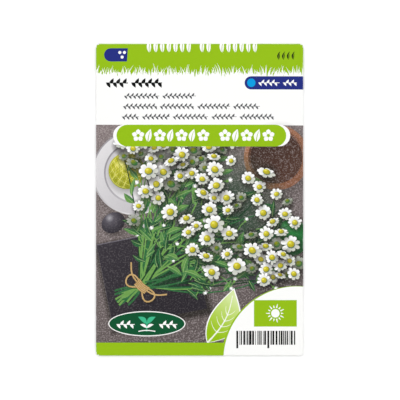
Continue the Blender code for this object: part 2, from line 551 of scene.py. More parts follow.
    def fold_across(
        self, u: Array, v: Array, start: float, radius: float, way: int, lap: float
    ) -> Array:
        """A fold across the packet: half a circle round, then back behind the front.

        Args:
            u, v: Places on the flat sheet.
            start, radius: Where the fold begins, and its radius.
            way: 1 for the top fold, -1 for the bottom fold.
            lap: How far the folded part lies behind the back panel.

        Returns:
            N by 3 points of the folded sheet.
        """
        away = way * (v - start)
        turn = np.pi / 2 - np.clip(away / radius, 0, np.pi)
        behind = away - np.pi * radius
        edge = self.front_height(u, np.full_like(v, start))
        y_panel = start - way * behind
        on_fold = behind <= 0
        y = np.where(on_fold, start + way * radius * np.cos(turn), y_panel)
        z_fold = edge + radius * (np.sin(turn) - 1)
        z = np.where(on_fold, z_fold, self.back_height(u, y_panel) - lap)
        return np.stack([u, y, z], 1)

    def fold_back(self, u: Array, v: Array) -> Array:
        """The bottom fold and the back panel, which comes up behind the front."""
        return self.fold_across(u, v, self.bottom_y, self.bottom_radius, -1, 0.0)

    def fold_closing(self, u: Array, v: Array) -> Array:
        """The top fold and the closing flap, which comes down behind the back panel."""
        return self.fold_across(u, v, self.top_y, self.top_radius, 1, self.layer)


def unit_normals(fold: Fold, u: Array, v: Array) -> Array:
    """Normals of a folded sheet: the cross product of its slopes along u and along v.

    Args:
        fold: What folds the flat sheet.
        u, v: Places on the flat sheet.

    Returns:
        N by 3 vectors of length 1.
    """
    step = 0.02
    along = fold(u + step, v) - fold(u - step, v)
    across = fold(u, v + step) - fold(u, v - step)
    normal = np.cross(along, across)
    return normal / np.linalg.norm(normal, axis=1)[:, None]


@dataclass
class PrintedPanel:
    """One panel of the sheet with its print: outlines, triangulated, coloured and folded.

    longest is the longest side of a triangle on an outline, and merge is how near two
    points become one. The inner face is coarser, and its grid keeps rim_clear off the rim.
    """

    name: str
    outline: Array
    art: Artwork
    fold: Fold
    paper: float
    fold_lines: list[Line] = field(default_factory=list)
    pitch: float = 2.0
    inner_pitch: float = 3.2
    longest: float = 3.5
    merge: float = 0.004
    inner_merge: float = 1e-5
    rim_clear: float = 0.5
    draw_in: float = 0.999
    overrun: tuple[float, float] = (1.3, 0.5)
    crease_angle: float = 60.0

    @staticmethod
    def grid_within(outline: Array, pitch: float) -> Array:
        """Points on a grid of about the pitch, inside the box round an outline.

        Args:
            outline: N by 2 places.
            pitch: The spacing.

        Returns:
            The points, none of them on the box itself.
        """
        low, high = outline.min(0), outline.max(0)
        steps = np.ceil((high - low) / pitch).astype(int)
        across = np.linspace(low[0], high[0], steps[0] + 1)[1:-1]
        up = np.linspace(low[1], high[1], steps[1] + 1)[1:-1]
        return np.stack(np.meshgrid(across, up), -1).reshape(-1, 2)

    def triangulate(self) -> tuple[Array, Array, Array]:
        """Cuts the panel along the outline of every shape.

        Returns:
            The points, the triangles, and pairs of triangle and shape that covers it.
        """
        grid = self.grid_within(self.outline, self.pitch)
        loops = [refined(loop, self.longest) for loop in (self.outline, *self.art.outlines)]
        starts = np.cumsum([0] + [len(loop) for loop in loops])
        faces = [list(range(a, b)) for a, b in zip(starts[:-1], starts[1:])]
        lines = np.array(self.fold_lines, float).reshape(-1, 2)
        first_line = int(starts[-1])
        edges = [(first_line + i, first_line + i + 1) for i in range(0, len(lines), 2)]
        points = np.concatenate([*loops, lines, grid])
        made = delaunay_2d_cdt([Vector(point) for point in points], edges, faces, 0, self.merge)
        places = np.array([tuple(point) for point in made[0]])
        triangles = np.array(made[2], int)
        owners = made[5]
        counts = np.array([len(owner) for owner in owners])
        shapes = np.concatenate([np.array(owner, int) for owner in owners if owner])
        pairs = np.stack([np.repeat(np.arange(len(owners)), counts), shapes], 1)
        kept = np.zeros(len(triangles), bool)
        kept[pairs[pairs[:, 1] == 0, 0]] = True
        fresh = np.cumsum(kept) - 1
        pairs = pairs[(pairs[:, 1] > 0) & kept[pairs[:, 0]]]
        pairs = np.stack([fresh[pairs[:, 0]], pairs[:, 1] - 1], 1)
        triangles = triangles[kept]
        used = np.unique(triangles)
        renumber = np.zeros(len(places), int)
        renumber[used] = np.arange(len(used))
        places, triangles = places[used], renumber[triangles]
        return places, triangles, self.mend_cover(places, triangles, pairs)

    def mend_cover(self, places: Array, triangles: Array, pairs: Array) -> Array:
        """Finds again what a shape covers where rounding in the cut let its cover run over.

        Such a shape covers more than its outline's area by a share and a rest, the two
        values of overrun. What it truly covers is every triangle whose middle lies inside
        the outline.

        Args:
            places, triangles: The cut panel.
            pairs: Pairs of triangle and shape that covers it.

        Returns:
            The pairs, mended.
        """
        area = np.abs(self.winding(places, triangles)) / 2
        covered = np.bincount(
            pairs[:, 1], weights=area[pairs[:, 0]], minlength=len(self.art.outlines)
        )
        middles = places[triangles].mean(1)
        share, rest = self.overrun
        for number, outline in enumerate(self.art.outlines):
            if covered[number] < share * signed_area(outline) + rest:
                continue
            found = np.flatnonzero(inside(middles, outline))
            again = np.stack([found, np.full(len(found), number)], 1)
            pairs = np.concatenate([pairs[pairs[:, 1] != number], again])
        return pairs

    def colours(self, places: Array, triangles: Array, pairs: Array) -> tuple[Array, Array]:
        """Lays the inks over each other at each corner of each triangle.

        A corner is read a little inside its triangle, where only that triangle's inks lie.

        Args:
            places, triangles: The cut panel.
            pairs: Pairs of triangle and shape that covers it.

        Returns:
            The colour and the grain of each triangle's three corners.
        """
        corners = places[triangles]
        centre = corners.mean(1, keepdims=True)
        corners = centre + (corners - centre) * self.draw_in
        colour = np.broadcast_to(srgb(Ink.PAPER.value), corners.shape[:2] + (3,)).copy()
        grain = np.zeros(corners.shape[:2])
        order = np.argsort(pairs[:, 1], kind="stable")
        pairs = pairs[order]
        ends = np.searchsorted(pairs[:, 1], np.arange(len(self.art.tones) + 1))
        for number, tone in enumerate(self.art.tones):
            covered = pairs[ends[number] : ends[number + 1], 0]
            if not len(covered):
                continue
            inks, cover = tone.at(corners[covered].reshape(-1, 2))
            inks = inks.reshape(-1, 3, 3)
            cover = cover.reshape(-1, 3, 1)
            colour[covered] = colour[covered] * (1 - cover) + inks * cover
            grain[covered] = grain[covered] * (1 - cover[..., 0]) + tone.grain * cover[..., 0]
        return colour, grain

    def inner_face(self, loop: Array) -> tuple[Array, Array]:
        """A coarse triangulation of the panel that keeps the outer face's rim points.

        The fold lines are drawn in a little, so that their ends stay off the rim.

        Args:
            loop: The rim points in order.

        Returns:
            The points, the rim's first, and the triangles.
        """
        grid = self.grid_within(loop, self.inner_pitch)
        near = np.abs(grid[:, None] - loop[None]).max(-1).min(1)
        grid = grid[near > self.rim_clear]
        lines = np.array(self.fold_lines, float).reshape(-1, 2)
        if len(lines):
            lines = lines * self.draw_in + lines.mean(0) * (1 - self.draw_in)
        first = len(loop)
        edges = [(first + i, first + i + 1) for i in range(0, len(lines), 2)]
        points = np.concatenate([loop, lines, grid])
        faces = [list(range(first))]
        corners = [Vector(point) for point in points]
        made = delaunay_2d_cdt(corners, edges, faces, 0, self.inner_merge)
        covered = [face for face, owner in zip(made[2], made[5]) if owner]
        source = np.array([owner[0] if owner else -1 for owner in made[3]])
        on_rim = (source >= 0) & (source < first)
        order = np.argsort(np.where(on_rim, source, len(source) + first), kind="stable")
        renumber = np.empty(len(order), int)
        renumber[order] = np.arange(len(order))
        places = np.array([tuple(point) for point in made[0]])[order]
        return places, renumber[np.array(covered, int)]

    @staticmethod
    def winding(places: Array, triangles: Array) -> Array:
        """Twice each triangle's area, positive where its corners run to the left."""
        first, second, third = (places[triangles[:, corner]] for corner in range(3))
        return np.cross(second - first, third - first)

    @staticmethod
    def rim_order(triangles: Array) -> Array:
        """The rim's points in order: each side that only one triangle has leads to the next.

        Args:
            triangles: Triangles whose corners run to the left.

        Returns:
            The numbers of the rim's points.
        """
        sides = np.concatenate([triangles[:, [0, 1]], triangles[:, [1, 2]], triangles[:, [2, 0]]])
        _, where, times = np.unique(
            np.sort(sides, axis=1), axis=0, return_index=True, return_counts=True
        )
        follows = dict(sides[where[times == 1]].tolist())
        ring = [next(iter(follows))]
        while follows[ring[-1]] != ring[0]:
            ring.append(follows[ring[-1]])
        return np.array(ring)

    def build(self, ink_finish: Material, bare_finish: Material) -> Object:
        """The panel as a closed sheet: the print outside, bare paper inside and on the cut.

        The outer face lies half the paper's thickness out along the normal, the inner face
        as far in, and a band of quads along the rim joins them.

        Args:
            ink_finish: The printed paper.
            bare_finish: The bare paper.

        Returns:
            The panel.
        """
        places, triangles, pairs = self.triangulate()
        colour, grain = self.colours(places, triangles, pairs)
        flip = self.winding(places, triangles) < 0
        triangles[flip] = triangles[flip][:, ::-1]
        colour[flip], grain[flip] = colour[flip][:, ::-1], grain[flip][:, ::-1]
        count = len(places)
        ring = self.rim_order(triangles)
        inner_places, inner = self.inner_face(places[ring])
        flip = self.winding(inner_places, inner) > 0
        inner[flip] = inner[flip][:, ::-1]
        after = np.roll(ring, -1)
        below = np.arange(len(ring)) + count
        band = np.stack([after, ring, below, np.roll(below, -1)], 1)
        layers = []
        for flat, side in ((places, 0.5), (inner_places, -0.5)):
            u, v = flat[:, 0], flat[:, 1]
            layers.append(self.fold(u, v) + unit_normals(self.fold, u, v) * self.paper * side)
        points = np.concatenate(layers)
        mesh = bpy.data.meshes.new(self.name)
        faces = [*triangles.tolist(), *(inner + count).tolist(), *band.tolist()]
        mesh.from_pydata((points * MM).tolist(), [], faces)
        loops = np.ones((len(mesh.loops), 4), np.float32)
        loops[:, :3] = linear(srgb(Ink.PAPER.value)) * PAPER_REFLECTANCE
        printed = len(triangles) * 3
        loops[:printed, :3] = linear(colour.reshape(-1, 3)) * PAPER_REFLECTANCE
        ink = mesh.attributes.new("ink", "FLOAT_COLOR", "CORNER")
        ink.data.foreach_set("color", loops.ravel())
        speckle = np.zeros(len(mesh.loops), np.float32)
        speckle[:printed] = grain.ravel()
        mesh.attributes.new("grain", "FLOAT", "CORNER").data.foreach_set("value", speckle)
        slots = np.ones(len(faces), np.int32)
        slots[: len(triangles)] = 0
        mesh.materials.append(ink_finish)
        mesh.materials.append(bare_finish)
        mesh.polygons.foreach_set("material_index", slots)
        self.lay_uv(mesh, places, inner_places)
        mesh.shade_smooth()
        mesh.set_sharp_from_angle(angle=math.radians(self.crease_angle))
        mesh.validate()
        made = bpy.data.objects.new(self.name, mesh)
        bpy.context.scene.collection.objects.link(made)
        LOG.info("%s: %d faces", self.name, len(faces))
        return made

    def lay_uv(self, mesh: Mesh, places: Array, inner: Array) -> None:
        """A map of the flat sheet: the printed side fills it, the inside lies in a corner.

        The print keeps a margin and stands above a foot strip, and the inside lies in that.

        Args:
            mesh: The panel's mesh.
            places, inner: The flat points of its two faces.
        """
        margin, print_share, foot = 0.01, 0.96, 0.035
        strip_start, strip_width, strip_height = 0.002, 0.3, 0.02
        low, high = places.min(0), places.max(0)
        flat = margin + (1 - 2 * margin) * (places - low) / (high - low)
        flat[:, 1] = flat[:, 1] * print_share + foot
        inner = (inner - low) / (high - low)
        inner = np.stack(
            [margin + strip_width * inner[:, 0], strip_start + strip_height * inner[:, 1]], 1
        )
        per_point = np.concatenate([flat, inner])
        index = np.empty(len(mesh.loops), np.int32)
        mesh.loops.foreach_get("vertex_index", index)
        layer = mesh.uv_layers.new(name="OFBake")
        layer.data.foreach_set("uv", per_point[index].astype(np.float32).ravel())


def add_node(
    tree: NodeTree, kind: str, inputs: dict[str | int, object] | None = None,
    **settings: object,
) -> Node:
    """Adds a node with its settings, and sets or links its sockets.

    Args:
        tree: The material's node tree.
        kind: The node's type.
        inputs: Socket name or number to a value, or to the socket that feeds it.
        settings: The node's own properties.

    Returns:
        The new node.
    """
    made = tree.nodes.new(kind)
    for name, value in settings.items():
        setattr(made, name, value)
    for key, value in (inputs or {}).items():
        if isinstance(value, NodeSocket):
            tree.links.new(value, made.inputs[key])
        else:
            made.inputs[key].default_value = value
    return made


def start_material(name: str) -> tuple[Material, NodeTree, Node]:
    """An empty node material, its tree and its Principled shader, wired to the output.

    Args:
        name: Its name.

    Returns:
        The material, its tree and its shader.
    """
    made = bpy.data.materials.new(name)
    made.use_nodes = True
    tree = made.node_tree
    tree.nodes.clear()
    shader = add_node(tree, "ShaderNodeBsdfPrincipled")
    add_node(tree, "ShaderNodeOutputMaterial", {"Surface": shader.outputs["BSDF"]})
    return made, tree, shader


@dataclass(frozen=True)
class CoatedPaper:
    """Offset-printed label paper, 110 g, clay coated and varnished.

    The varnish gives a soft sheen with no mirror image. Under it the paper is very slightly
    uneven from its fibres, and the printed ground shows a speckle of stone.
    """

    speckle: float = 0.75
    fibre: float = 0.9
    relief: float = 0.04
    roughness: float = 0.42
    speckle_light: str = "C9BFBF"
    speckle_dark: str = "453C3B"

    def make(self) -> Material:
        """Builds the material.

        Returns:
            The material.
        """
        made, tree, shader = start_material("coated_paper_offset_printed")
        place = add_node(tree, "ShaderNodeTexCoord").outputs["Object"]
        ink = add_node(tree, "ShaderNodeAttribute", attribute_name="ink").outputs["Color"]
        grain = add_node(tree, "ShaderNodeAttribute", attribute_name="grain").outputs["Fac"]
        fine = add_node(tree, "ShaderNodeTexNoise", {
            "Vector": place, "Scale": 1 / (self.speckle * MM), "Detail": 3.0, "Roughness": 0.7,
        }).outputs["Fac"]
        light = add_node(tree, "ShaderNodeMapRange", {
            "Value": fine, "From Min": 0.5, "From Max": 0.72, "To Max": 0.55,
        })
        dark = add_node(tree, "ShaderNodeMapRange", {
            "Value": fine, "From Min": 0.5, "From Max": 0.3, "To Max": 0.6,
        })
        for level, code in ((light, self.speckle_light), (dark, self.speckle_dark)):
            share = add_node(
                tree, "ShaderNodeMath", {0: level.outputs["Result"], 1: grain},
                operation="MULTIPLY",
            )
            mixed = add_node(
                tree, "ShaderNodeMix",
                {"Factor": share.outputs["Value"], 6: ink, 7: hex_linear(code)}, data_type="RGBA",
            )
            ink = mixed.outputs[2]
        tree.links.new(ink, shader.inputs["Base Color"])
        weave = add_node(tree, "ShaderNodeTexNoise", {
            "Vector": place, "Scale": 1 / (self.fibre * MM), "Detail": 4.0,
        }).outputs["Fac"]
        bump = add_node(tree, "ShaderNodeBump", {
            "Height": weave, "Strength": 0.12, "Distance": self.relief * MM,
        })
        tree.links.new(bump.outputs["Normal"], shader.inputs["Normal"])
        gloss = add_node(tree, "ShaderNodeMapRange", {
            "Value": weave, "To Min": self.roughness - 0.05, "To Max": self.roughness + 0.07,
        })
        tree.links.new(gloss.outputs["Result"], shader.inputs["Roughness"])
        shader.inputs["IOR"].default_value = 1.45
        shader.inputs["Specular IOR Level"].default_value = 0.13
        return made


@dataclass(frozen=True)
class BarePaper:
    """The uncoated inside and cut edge of the paper: matt, off-white, with loose fibres."""

    colour: str = "F4F2EC"
    shade: str = "E6E3DA"
    fibre: float = 0.6
    relief: float = 0.04

    def make(self) -> Material:
        """Builds the material.

        Returns:
            The material.
        """
        made, tree, shader = start_material("bare_paper_uncoated")
        place = add_node(tree, "ShaderNodeTexCoord").outputs["Object"]
        cloud = add_node(tree, "ShaderNodeTexNoise", {
            "Vector": place, "Scale": 1 / (self.fibre * MM), "Detail": 5.0,
        }).outputs["Fac"]
        shade = add_node(
            tree, "ShaderNodeMix",
            {"Factor": cloud, 6: hex_linear(self.colour), 7: hex_linear(self.shade)},
            data_type="RGBA",
        )
        tree.links.new(shade.outputs[2], shader.inputs["Base Color"])
        bump = add_node(tree, "ShaderNodeBump", {
            "Height": cloud, "Strength": 0.3, "Distance": self.relief * MM,
        })
        tree.links.new(bump.outputs["Normal"], shader.inputs["Normal"])
        shader.inputs["Roughness"].default_value = 0.85
        return made


@dataclass(frozen=True)
class LaminatedFoil:
    """Aluminium foil laminated between plastic films: satin silver with fine creases."""

    colour: str = "D9DADC"
    crease: float = 6.0
    relief: float = 0.3

    def make(self) -> Material:
        """Builds the material.

        Returns:
            The material.
        """
        made, tree, shader = start_material("aluminium_foil_laminated")
        place = add_node(tree, "ShaderNodeTexCoord").outputs["Object"]
        folds = add_node(
            tree, "ShaderNodeTexVoronoi", {"Vector": place, "Scale": 1 / (self.crease * MM)},
            feature="DISTANCE_TO_EDGE",
        )
        bump = add_node(tree, "ShaderNodeBump", {
            "Height": folds.outputs["Distance"], "Strength": 0.25, "Distance": self.relief * MM,
        })
        tree.links.new(bump.outputs["Normal"], shader.inputs["Normal"])
        shader.inputs["Base Color"].default_value = hex_linear(self.colour)
        shader.inputs["Metallic"].default_value = 0.9
        shader.inputs["Roughness"].default_value = 0.3
        return made


@dataclass(frozen=True)
class SeedHusk:
    """Dry seed husk: matt straw brown, which differs a little from seed to seed."""

    dark: str = "8A7248"
    light: str = "C2AE78"

    def make(self) -> Material:
        """Builds the material.

        Returns:
            The material.
        """
        made, tree, shader = start_material("seed_husk_dry")
        tint = add_node(tree, "ShaderNodeAttribute", attribute_name="tint").outputs["Fac"]
        shade = add_node(
            tree, "ShaderNodeMix",
            {"Factor": tint, 6: hex_linear(self.dark), 7: hex_linear(self.light)},
            data_type="RGBA",
        )
        tree.links.new(shade.outputs[2], shader.inputs["Base Color"])
        shader.inputs["Roughness"].default_value = 0.7
        return made


@dataclass(frozen=True)
class StudioFloor:
    """Matt white studio board, with no grain that shows."""

    colour: str = "FAFAFA"
    light: str = "FCFCFC"
    grain: float = 2.5

    def make(self) -> Material:
        """Builds the material.

        Returns:
            The material.
        """
        made, tree, shader = start_material("studio_board_matt")
        place = add_node(tree, "ShaderNodeTexCoord").outputs["Object"]
        cloud = add_node(
            tree, "ShaderNodeTexNoise", {"Vector": place, "Scale": 1 / (self.grain * MM)}
        ).outputs["Fac"]
        shade = add_node(
            tree, "ShaderNodeMix",
            {"Factor": cloud, 6: hex_linear(self.colour), 7: hex_linear(self.light)},
            data_type="RGBA",
        )
        tree.links.new(shade.outputs[2], shader.inputs["Base Color"])
        shader.inputs["Roughness"].default_value = 0.9
        shader.inputs["Specular IOR Level"].default_value = 0.1
        return made


def new_object(name: str, points: Array, faces: list[list[int]], finish: Material) -> Object:
    """A smooth mesh object from points in millimetres and lists of corners.

    Args:
        name: Its name.
        points: N by 3 places.
        faces: The numbers of each face's corners.
        finish: Its material.

    Returns:
        The object.
    """
    mesh = bpy.data.meshes.new(name)
    mesh.from_pydata((np.asarray(points) * MM).tolist(), [], faces)
    mesh.materials.append(finish)
    mesh.shade_smooth()
    made = bpy.data.objects.new(name, mesh)
    bpy.context.scene.collection.objects.link(made)
    return made


@dataclass
class Sachet:
    """The foil sachet: one strip of film, folded at its low end, with three crimped seals."""

    sheet: FoldedSheet
    width: float = 76.0
    height: float = 106.0
    seal: float = 8.0
    film: float = 0.1
    film_gap: float = 0.08
    web_depth: float = 2.0
    clear: float = 0.3
    crimp: float = 3.2
    crimp_height: float = 0.06
    crimp_inset: float = 1.0
    columns: int = 101
    rows: int = 141
    fold_steps: int = 6

    @property
    def base(self) -> float:
        """Height of the back web's middle over the back panel's."""
        return self.sheet.paper / 2 + self.clear + self.film / 2

    def swell(self, x: Array, y: Array) -> Array:
        """1 over the seed and 0 in the seals, by fourth powers.

        Args:
            x, y: Places on the packet.

        Returns:
            Shares from 0 to 1.
        """
        across = np.abs(x) / (self.width / 2 - self.seal)
        along = np.abs(y - self.sheet.belly_y) / (self.height / 2 - self.seal)
        return np.maximum(1 - across**4, 0) * np.maximum(1 - along**4, 0)

    def crimps(self, x: Array, y: Array) -> Array:
        """Ridges of the heat seals, a sine along each seal, drawn coarser than real ones.

        Args:
            x, y: Places on the packet.

        Returns:
            Heights of the ridges.
        """
        starts = self.crimp_inset - self.seal
        in_sides = np.abs(x) > self.width / 2 + starts
        in_top = y - self.sheet.belly_y > self.height / 2 + starts
        along = np.where(in_sides, y, x)
        ridge = self.crimp_height * np.sin(2 * np.pi * along / self.crimp)
        return np.where(in_sides | in_top, ridge, 0.0)

    def back_web(self, x: Array, y: Array) -> Array:
        """Height of the back web's middle."""
        return self.sheet.back_height(x, y) + self.base + self.crimps(x, y)

    def front_web(self, x: Array, y: Array) -> Array:
        """Height of the front web's middle."""
        closed = self.film + self.film_gap
        return self.back_web(x, y) + closed + (self.web_depth - closed) * self.swell(x, y)

    def build(self, finish: Material) -> Object:
        """The strip as a grid: across by x, and along it by front web, fold and back web.

        Args:
            finish: The film.

        Returns:
            The sachet.
        """
        low = self.sheet.belly_y - self.height / 2
        x = np.linspace(-self.width / 2, self.width / 2, self.columns)
        y = np.linspace(low, low + self.height, self.rows)
        radius = (self.film + self.film_gap) / 2
        turn = np.pi / 2 - np.pi * np.arange(1, self.fold_steps) / self.fold_steps
        grid_x, grid_y = np.meshgrid(x, y[::-1])
        front = np.stack([grid_x, grid_y, self.front_web(grid_x, grid_y)], -1)
        fold_x, fold_turn = np.meshgrid(x, turn)
        edge = self.front_web(fold_x, np.full_like(fold_x, low))
        fold_y = low - radius * np.cos(fold_turn)
        fold = np.stack([fold_x, fold_y, edge + radius * (np.sin(fold_turn) - 1)], -1)
        grid_x, grid_y = np.meshgrid(x, y)
        back = np.stack([grid_x, grid_y, self.back_web(grid_x, grid_y)], -1)
        strip = np.concatenate([front, fold, back])
        corner = np.arange(strip[..., 0].size).reshape(strip.shape[:2])
        faces = np.stack(
            [corner[:-1, :-1], corner[1:, :-1], corner[1:, 1:], corner[:-1, 1:]], -1
        ).reshape(-1, 4)
        made = new_object("foil_sachet_strip", strip.reshape(-1, 3), faces.tolist(), finish)
        wall = made.modifiers.new("Film", "SOLIDIFY")
        wall.thickness = self.film * MM
        wall.offset = 0.0
        return made


@dataclass
class LooseSeed:
    """The seed in the sachet: slim four-sided grains that lie flat, in a low heap.

    rings are two places along a grain with its girth there, as shares of length and width.
    clearance, a share of the width, keeps a grain's middle off the film.
    """

    sachet: Sachet
    count: int = 3200
    length: float = 1.1
    width: float = 0.38
    rings: tuple[Place, Place] = ((-0.2, 0.9), (0.25, 1.0))
    sizes: tuple[float, float] = (0.8, 1.1)
    half_x: float = 21.0
    half_y: float = 32.0
    fill: float = 0.97
    clearance: float = 0.55
    draw_seed: int = 5

    def grain(self) -> tuple[Array, Array]:
        """One grain along X: a point at each end, and two rings of four corners between.

        Returns:
            Its points and its triangles.
        """
        body = [(-0.5 * self.length, 0.0, 0.0)]
        for along, girth in self.rings:
            radius = girth * self.width / 2
            for angle in np.arange(4) * np.pi / 2:
                across = radius * math.cos(angle), radius * math.sin(angle)
                body.append((along * self.length, *across))
        body.append((0.5 * self.length, 0.0, 0.0))
        faces = []
        for side in range(4):
            after = (side + 1) % 4
            faces += [
                (0, 1 + after, 1 + side),
                (1 + side, 1 + after, 5 + after),
                (1 + side, 5 + after, 5 + side),
                (5 + side, 5 + after, 9),
            ]
        return np.array(body), np.array(faces)

    def build(self, finish: Material) -> Object:
        """All grains in one mesh, each turned about the vertical, as one array.

        Their middles fill an ellipse evenly: the distance is the root of a random share.
        The heap's top falls to the rim of the ellipse as a circle's height does.

        Args:
            finish: The husk.

        Returns:
            The seed.
        """
        random = np.random.default_rng(self.draw_seed)
        body, faces = self.grain()
        share = np.sqrt(random.random(self.count)) * self.fill
        angle = random.random(self.count) * 2 * np.pi
        x = self.half_x * share * np.cos(angle)
        y = self.sachet.sheet.belly_y + self.half_y * share * np.sin(angle)
        clear = self.width * self.clearance
        low = self.sachet.back_web(x, y) + self.sachet.film / 2 + clear
        high = self.sachet.front_web(x, y) - self.sachet.film / 2 - clear
        room = np.maximum(high - low, 0) * np.sqrt(np.maximum(1 - share**2, 0))
        z = low + room * random.random(self.count)
        turn = random.random(self.count) * 2 * np.pi
        size = random.uniform(*self.sizes, self.count)[:, None, None]
        grain = np.broadcast_to(body, (self.count, *body.shape)) * size
        cos, sin = np.cos(turn)[:, None], np.sin(turn)[:, None]
        placed = np.stack(
            [
                grain[..., 0] * cos - grain[..., 1] * sin + x[:, None],
                grain[..., 0] * sin + grain[..., 1] * cos + y[:, None],
                grain[..., 2] + z[:, None],
            ],
            -1,
        )
        corners = faces[None] + (np.arange(self.count) * len(body))[:, None, None]
        triangles = corners.reshape(-1, 3).tolist()
        made = new_object("seed_grains", placed.reshape(-1, 3), triangles, finish)
        tint = np.repeat(random.random(self.count), len(body)).astype(np.float32)
        made.data.attributes.new("tint", "FLOAT", "POINT").data.foreach_set("value", tint)
        return made


@dataclass
class Studio:
    """A white floor, a broad soft light on each of four sides, and a camera straight above.

    The lights' places and size are in metres, and their power is in watts.
    """

    frame_width: float = 208.4
    lens: float = 150.0
    sensor: float = 36.0
    aim: tuple[float, float, float] = (0.18, -0.16, 1.6)
    near_clip: float = 10.0
    floor_half: float = 6000.0
    floor_points: int = 13
    floor_drop: float = 0.02
    lights: tuple[tuple[str, tuple[float, float, float]], ...] = (
        ("soft_left", (-1.1, 0.25, 1.0)),
        ("soft_right", (1.1, 0.25, 1.0)),
        ("soft_front", (0.0, -1.2, 1.0)),
        ("soft_back", (0.0, 1.2, 1.0)),
    )
    light_size: float = 0.9
    light_power: float = 8.5
    world_strength: float = 0.33

    def floor(self, finish: Material) -> Object:
        """A broad flat board: a grid of points at one height.

        Args:
            finish: The board.

        Returns:
            The floor.
        """
        x = np.linspace(-self.floor_half, self.floor_half, self.floor_points)
        grid_x, grid_y = np.meshgrid(x, x)
        height = np.full_like(grid_x, -self.floor_drop)
        points = np.stack([grid_x, grid_y, height], -1).reshape(-1, 3)
        corner = np.arange(grid_x.size).reshape(grid_x.shape)
        faces = np.stack(
            [corner[:-1, :-1], corner[:-1, 1:], corner[1:, 1:], corner[1:, :-1]], -1
        ).reshape(-1, 4)
        return new_object("studio_floor", points, faces.tolist(), finish)

    def light(self, name: str, place: tuple[float, float, float]) -> None:
        """A square soft light that faces the packet.

        Args:
            name: Its name.
            place: Where it stands, in metres.
        """
        lamp = bpy.data.lights.new(name, "AREA")
        lamp.shape = "SQUARE"
        lamp.size = self.light_size
        lamp.energy = self.light_power
        made = bpy.data.objects.new(name, lamp)
        made.location = place
        made.rotation_euler = (-Vector(place)).to_track_quat("-Z", "Y").to_euler()
        bpy.context.scene.collection.objects.link(made)

    def build(self, finish: Material) -> Object:
        """Sets the floor, the lights, the world and the camera.

        The camera stands as high as makes frame_width, at the aim, fill the picture.

        Args:
            finish: The floor's board.

        Returns:
            The floor.
        """
        floor = self.floor(finish)
        for name, place in self.lights:
            self.light(name, place)
        world = bpy.data.worlds.new("studio")
        world.use_nodes = True
        sky = world.node_tree.nodes["Background"]
        sky.inputs["Color"].default_value = (1, 1, 1, 1)
        sky.inputs["Strength"].default_value = self.world_strength
        bpy.context.scene.world = world
        bpy.context.scene.view_settings.view_transform = "Standard"
        camera = bpy.data.cameras.new("camera")
        camera.lens = self.lens
        camera.sensor_width = self.sensor
        camera.clip_start = self.near_clip * MM
        seen = bpy.data.objects.new("camera", camera)
        distance = self.frame_width / 2 / (self.sensor / 2 / self.lens)
        aim = Vector(self.aim)
        seen.location = (aim + Vector((0, 0, distance))) * MM
        seen.rotation_euler = (0, 0, 0)
        bpy.context.scene.collection.objects.link(seen)
        bpy.context.scene.camera = seen
        return floor


